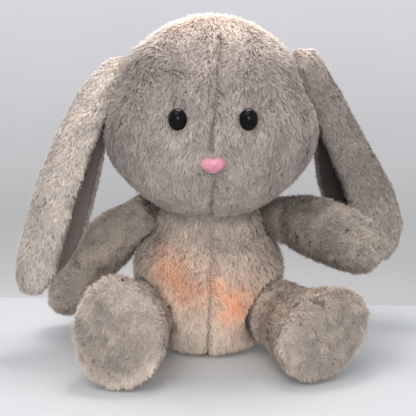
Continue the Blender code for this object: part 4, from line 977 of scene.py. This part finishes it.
for side, name in SIDES:
    near = node_tree(["torso_skin", "head_skin", "leg_skin_" + name, "ear_fur_" + name])
    arm = remesh_form("plush_arm_" + name, ["arm_skin_" + name, "arm_filling_" + name], LIMB_VOXEL, 14)
    co = coords(arm.data)
    inflate(arm, held_near(co, near), 1.6 * MM)
    sink(arm, near, PILE_ROOT)
    arm.data.materials.append(backing)
    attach(arm, "arm_" + name)
    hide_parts("arm_skin_" + name, "arm_filling_" + name)
    lo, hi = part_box("arm_skin_" + name)
    pivot = ARM_PIVOT * (side, 1, 1)
    tip = np.array([lo.x if side < 0 else hi.x, (lo.y + hi.y) / 2, lo.z + 10 * MM])

    def arm_flow(at, up):
        return np.tile(unit(tip - pivot), (len(at), 1))

    def arm_streaks_and_painted_shade(at, up):
        """Painted light and shade: the left arm is the paler one, less so towards its hand; noise adds
        streaks of tone.
        """
        hand = smoothstep(40 * MM, 90 * MM, np.linalg.norm(at - pivot, axis=1))
        return 0.06 - side * (0.30 - 0.18 * hand) + 0.3 * noise(at, 5 * MM, 88) + 0.25 * noise(at, 2 * MM, 89)

    pile("fur_arm_" + name, "arm_" + name, arm, STRANDS["arm"], fur_arm, arm_flow, seed=40 + side, near=near,
         stray=0.5, tuft=1.4, length=6.8 * MM, lean=(48, 76), shade=arm_streaks_and_painted_shade)

for side, name in SIDES:
    near = node_tree(["torso_skin", "arm_skin_" + name])
    leg = remesh_form("plush_leg_" + name, ["leg_skin_" + name, "leg_filling_" + name, "sole_" + name],
                      LIMB_VOXEL, 40)
    lo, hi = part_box("sole_" + name)
    centre = np.array((lo + hi) / 2)
    pivot = LEG_PIVOT * (side, 1, 1)
    axis = unit(centre - pivot)

    def facing(up):
        """How far a face is turned from the side of the leg to its sole, one at most."""
        return (up * axis).sum(1)

    co, no = coords(leg.data), normals(leg.data)
    held = np.maximum(held_near(co, near), bell(facing(no) - 0.55, 0.12))  # also at the sole's seam
    inflate(leg, np.maximum(held, smoothstep(3 * MM, 0, co[:, 2])), 1.6 * MM, spare=0.04)
    sink(leg, near, PILE_ROOT)

    # The thigh swells on its inner side and the sole in its middle.
    co, no = coords(leg.data), normals(leg.data)
    along = (co - pivot) @ axis
    inward = no @ unit(np.array([-side, -0.2, -0.35]))
    clear = smoothstep(4 * MM, 9 * MM, gap_to(co, near))
    swell = 4.5 * MM * bell(along - 30 * MM, 13 * MM) * smoothstep(0.0, 0.7, inward) * clear
    off = np.linalg.norm(co - centre - ((co - centre) @ axis)[:, None] * axis, axis=1)
    swell = swell + 3.0 * MM * smoothstep(0.5, 0.85, no @ axis) * np.clip(1 - (off / (30 * MM)) ** 2, 0, 1)
    put(leg.data, relax(co + no * swell[:, None], edges(leg.data), 6))
    sole = patch("plush_sole_" + name, leg, lambda at, up: facing(up) > SOLE_RIM, 0.3 * MM)
    for piece in (leg, sole):
        piece.data.materials.append(backing)
        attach(piece, "leg_" + name)
    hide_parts("leg_skin_" + name, "leg_filling_" + name)
    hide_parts("sole_" + name)

    def leg_flow(at, up):
        """Along the leg, and down where it turns to the sole."""
        near_rim = smoothstep(-0.1, 0.45, facing(up))[:, None]
        return axis * (1 - near_rim) + near_rim * DOWN

    def leg_painted_light(at, up):
        # painted light: the leg is paler, most of all where it turns to the sole
        return 0.24 + 0.12 * smoothstep(-0.3, 0.4, facing(up))

    def leg_trim(at, up, rng):
        return 1 - 0.32 * bell(facing(up) - SOLE_RIM, 0.06)

    def sole_flow(at, up):
        r = np.linalg.norm(at - centre, axis=1, keepdims=True)
        return DOWN + 0.9 * noise3(at, 8 * MM, 7) * smoothstep(32 * MM, 14 * MM, r)

    def sole_streaks_and_painted_shade(at, up):
        """Dark streaks in the middle of the sole; painted shade makes the right sole darker away from its
        middle, most of all at its edge.
        """
        r = np.linalg.norm(at - centre, axis=1)
        rough = smoothstep(30 * MM, 16 * MM, r)
        streaks = 0.40 * noise(at, 3.2 * MM, 64) + 0.45 * noise(at * STREAK, 1.8 * MM, 65)
        edge = smoothstep(0.80, 0.45, facing(up)) * (side > 0)
        return 0.05 - 0.09 * side - rough * (0.46 - 0.10 * side - streaks) - 0.18 * edge

    pile("fur_leg_" + name, "leg_" + name, leg, STRANDS["leg"], fur_leg, leg_flow, seed=50 + side,
         part=lambda at, up: facing(up) < SOLE_RIM + 0.04, trim=leg_trim, near=near, stray=0.4, tuft=1.0,
         shade=leg_painted_light)
    pile("fur_sole_" + name, "leg_" + name, sole, STRANDS["sole"], fur_leg, sole_flow, seed=60 + side,
         part=lambda at, up: facing(up) > 0.3, lean=(42, 72), trim=leg_trim, stray=0.7, tuft=1.25,
         length=6.0 * MM, shade=sole_streaks_and_painted_shade)


# Tail and flap

tail = remesh_form("plush_tail", ["tail"], 1.5 * MM, 10)
tail_near = node_tree(["torso_skin"])
sink(tail, tail_near, 1.5 * MM)
tail.data.materials.append(backing)
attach(tail, "torso")
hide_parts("tail")
pile("fur_tail", "torso", tail, STRANDS["tail"], fur_leg, flow_down, seed=71, near=tail_near, stray=0.9,
     lean=(15, 40), length=6.5 * MM)

flap = remesh_form("cloth_flap", ["back_flap"], 0.9 * MM, 4)
flap_mat, tree, bsdf = material("flap_cloth", srgb(150, 140, 132), 0.85)
weave = object_noise(tree, 1500, 2.0, 0.6)
paint(tree, bsdf, weave, ((0.3, srgb(120, 111, 104)), (0.7, srgb(160, 150, 142))))
bump(tree, bsdf, weave, 0.4, 0.0003)
flap.data.materials.append(flap_mat)
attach(flap, "flap")
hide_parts("back_flap")
flap_fur = pile("fur_flap", "flap", flap, STRANDS["flap"], fur_leg, flow_down, seed=81,
                part=lambda at, up: up[:, 1] > 0.1, length=3.4 * MM, width=0.5 * MM)

tape_mat, tree, bsdf = material("tape_woven", srgb(150, 144, 140), 0.85)
weave = object_noise(tree, 1800, 1.0, 0.5, stretch=(1.0, 1.0, 0.45))
paint(tree, bsdf, weave, ((0.35, srgb(118, 112, 108)), (0.65, srgb(160, 154, 150))))
bump(tree, bsdf, weave, 0.5, 0.0003)
strand_mat = pile_material("tape_fibre", (120, 114, 110), (160, 154, 149), (192, 187, 182))
# The hooks sit on the flap and stand towards the torso, and the loops the other way round.
for name, body, count, toward, seed in (("hook", "flap", 2600, -1, 91), ("loop", "torso", 5200, 1, 92)):
    tape = remesh_form("tape_" + name, [name + "_tape"], 0.45 * MM, 2)
    tape.data.materials.append(tape_mat)
    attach(tape, body)
    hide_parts(name + "_tape")
    fibres = pile("fibres_" + name, body, tape, count, strand_mat, flow_down, seed=seed, length=0.8 * MM,
                  width=0.14 * MM, part=lambda at, up: up[:, 1] * toward > 0.5, stray=1.2, tuft=1.0,
                  lean=(8, 30) if name == "hook" else (50, 80))


# Eyes and nose

def dome(name, node_name, centre, radii, shape, mat, body):
    """A smooth moulded button with a rounded face turned to the front."""
    bm = bmesh.new()
    bmesh.ops.create_uvsphere(bm, u_segments=48, v_segments=32, radius=1.0)
    for v in bm.verts:
        v.co = Vector([c + a * r for c, a, r in zip(centre, shape(*v.co), radii)])
    mesh = bpy.data.meshes.new(name)
    bm.to_mesh(mesh)
    bm.free()
    shade_smooth(mesh)
    mesh.materials.append(mat)
    obj = new_object(name, mesh)
    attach(obj, body)
    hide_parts(node_name)
    return obj


eye_mat, tree, bsdf = material("eye_black", (0.006, 0.006, 0.008), 0.06)
bsdf.inputs["Specular IOR Level"].default_value = 0.13
smudge = object_noise(tree, 180, 3.0)
paint(tree, bsdf, smudge, ((0.35, (0.03, 0.03, 0.03)), (0.7, (0.07, 0.07, 0.07))), "Roughness")
paint(tree, bsdf, smudge, ((0.3, (0.002, 0.002, 0.003)), (0.7, (0.005, 0.005, 0.006))))
for name in ("left", "right"):
    lo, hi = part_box("eye_" + name)
    eye = dome("eye_dome_" + name, "eye_" + name, ((lo.x + hi.x) / 2, lo.y + 5.2 * MM, (lo.z + hi.z) / 2),
               (6.2 * MM, 5.2 * MM, 7.3 * MM), lambda x, y, z: (x, y, z), eye_mat, "head")

nose_mat, tree, bsdf = material("nose_pink", srgb(226, 152, 168), 0.5)
paint(tree, bsdf, object_noise(tree, 260, 3.0), ((0.3, srgb(205, 131, 150)), (0.7, srgb(228, 158, 175))))
bump(tree, bsdf, object_noise(tree, 1600, 2.0), 0.15, 0.0002)
bsdf.inputs["Sheen Weight"].default_value = 0.2
lo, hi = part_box("nose")


def muzzle(x, y, z):
    """A half moon with a low notch at the top and a rounded point below."""
    if z > 0:
        high = 0.86 * z ** 0.8 * (1.06 + 0.12 * min(abs(x) * 2, 1)) * math.hypot(x, z)
        return x * (1.0 + 0.04 * z), y * (1 + 0.1 * z), high
    return x * (1 - 0.30 * z * z), y, z * 1.12


nose = dome("nose_button", "nose", ((lo.x + hi.x) / 2, lo.y + 4.6 * MM, (lo.z + hi.z) / 2 + 0.6 * MM),
            (8.2 * MM, 4.6 * MM, 5.4 * MM), muzzle, nose_mat, "head")


# Inner pieces

# Colour, roughness and metal of each finish that the frame names
INNER = {
    "white_plastic": (srgb(226, 226, 222), 0.42, 0.0),
    "frosted": (srgb(238, 234, 226), 0.55, 0.0),
    "board": (srgb(38, 118, 70), 0.45, 0.0),
    "led": (srgb(255, 160, 80), 0.25, 0.0),
    "cell_jacket": (srgb(63, 137, 89), 0.35, 0.0),
    "steel": (srgb(190, 190, 188), 0.28, 1.0),
    "switch_black": (srgb(32, 32, 34), 0.5, 0.0),
    "lead_black": (srgb(28, 28, 30), 0.5, 0.0),
    "lead_red": (srgb(176, 32, 28), 0.5, 0.0),
}
made = {}
for key, (colour, rough, metal) in INNER.items():
    mat, tree, bsdf = material("inner_" + key, colour, rough)
    bsdf.inputs["Metallic"].default_value = metal
    grain = object_noise(tree, 500, 3.0)
    paint(tree, bsdf, grain, ((0.3, tuple(c * 0.82 for c in colour)), (0.7, colour)))
    bump(tree, bsdf, grain, 0.12, 0.0002)
    if key == "led":
        bsdf.inputs["Emission Color"].default_value = (*srgb(255, 150, 60), 1)
        bsdf.inputs["Emission Strength"].default_value = 2.0
    made[key] = mat
for name, obj in NODES.items():
    for slot in obj.material_slots:
        if slot.material and slot.material.name in made:
            slot.material = made[slot.material.name]
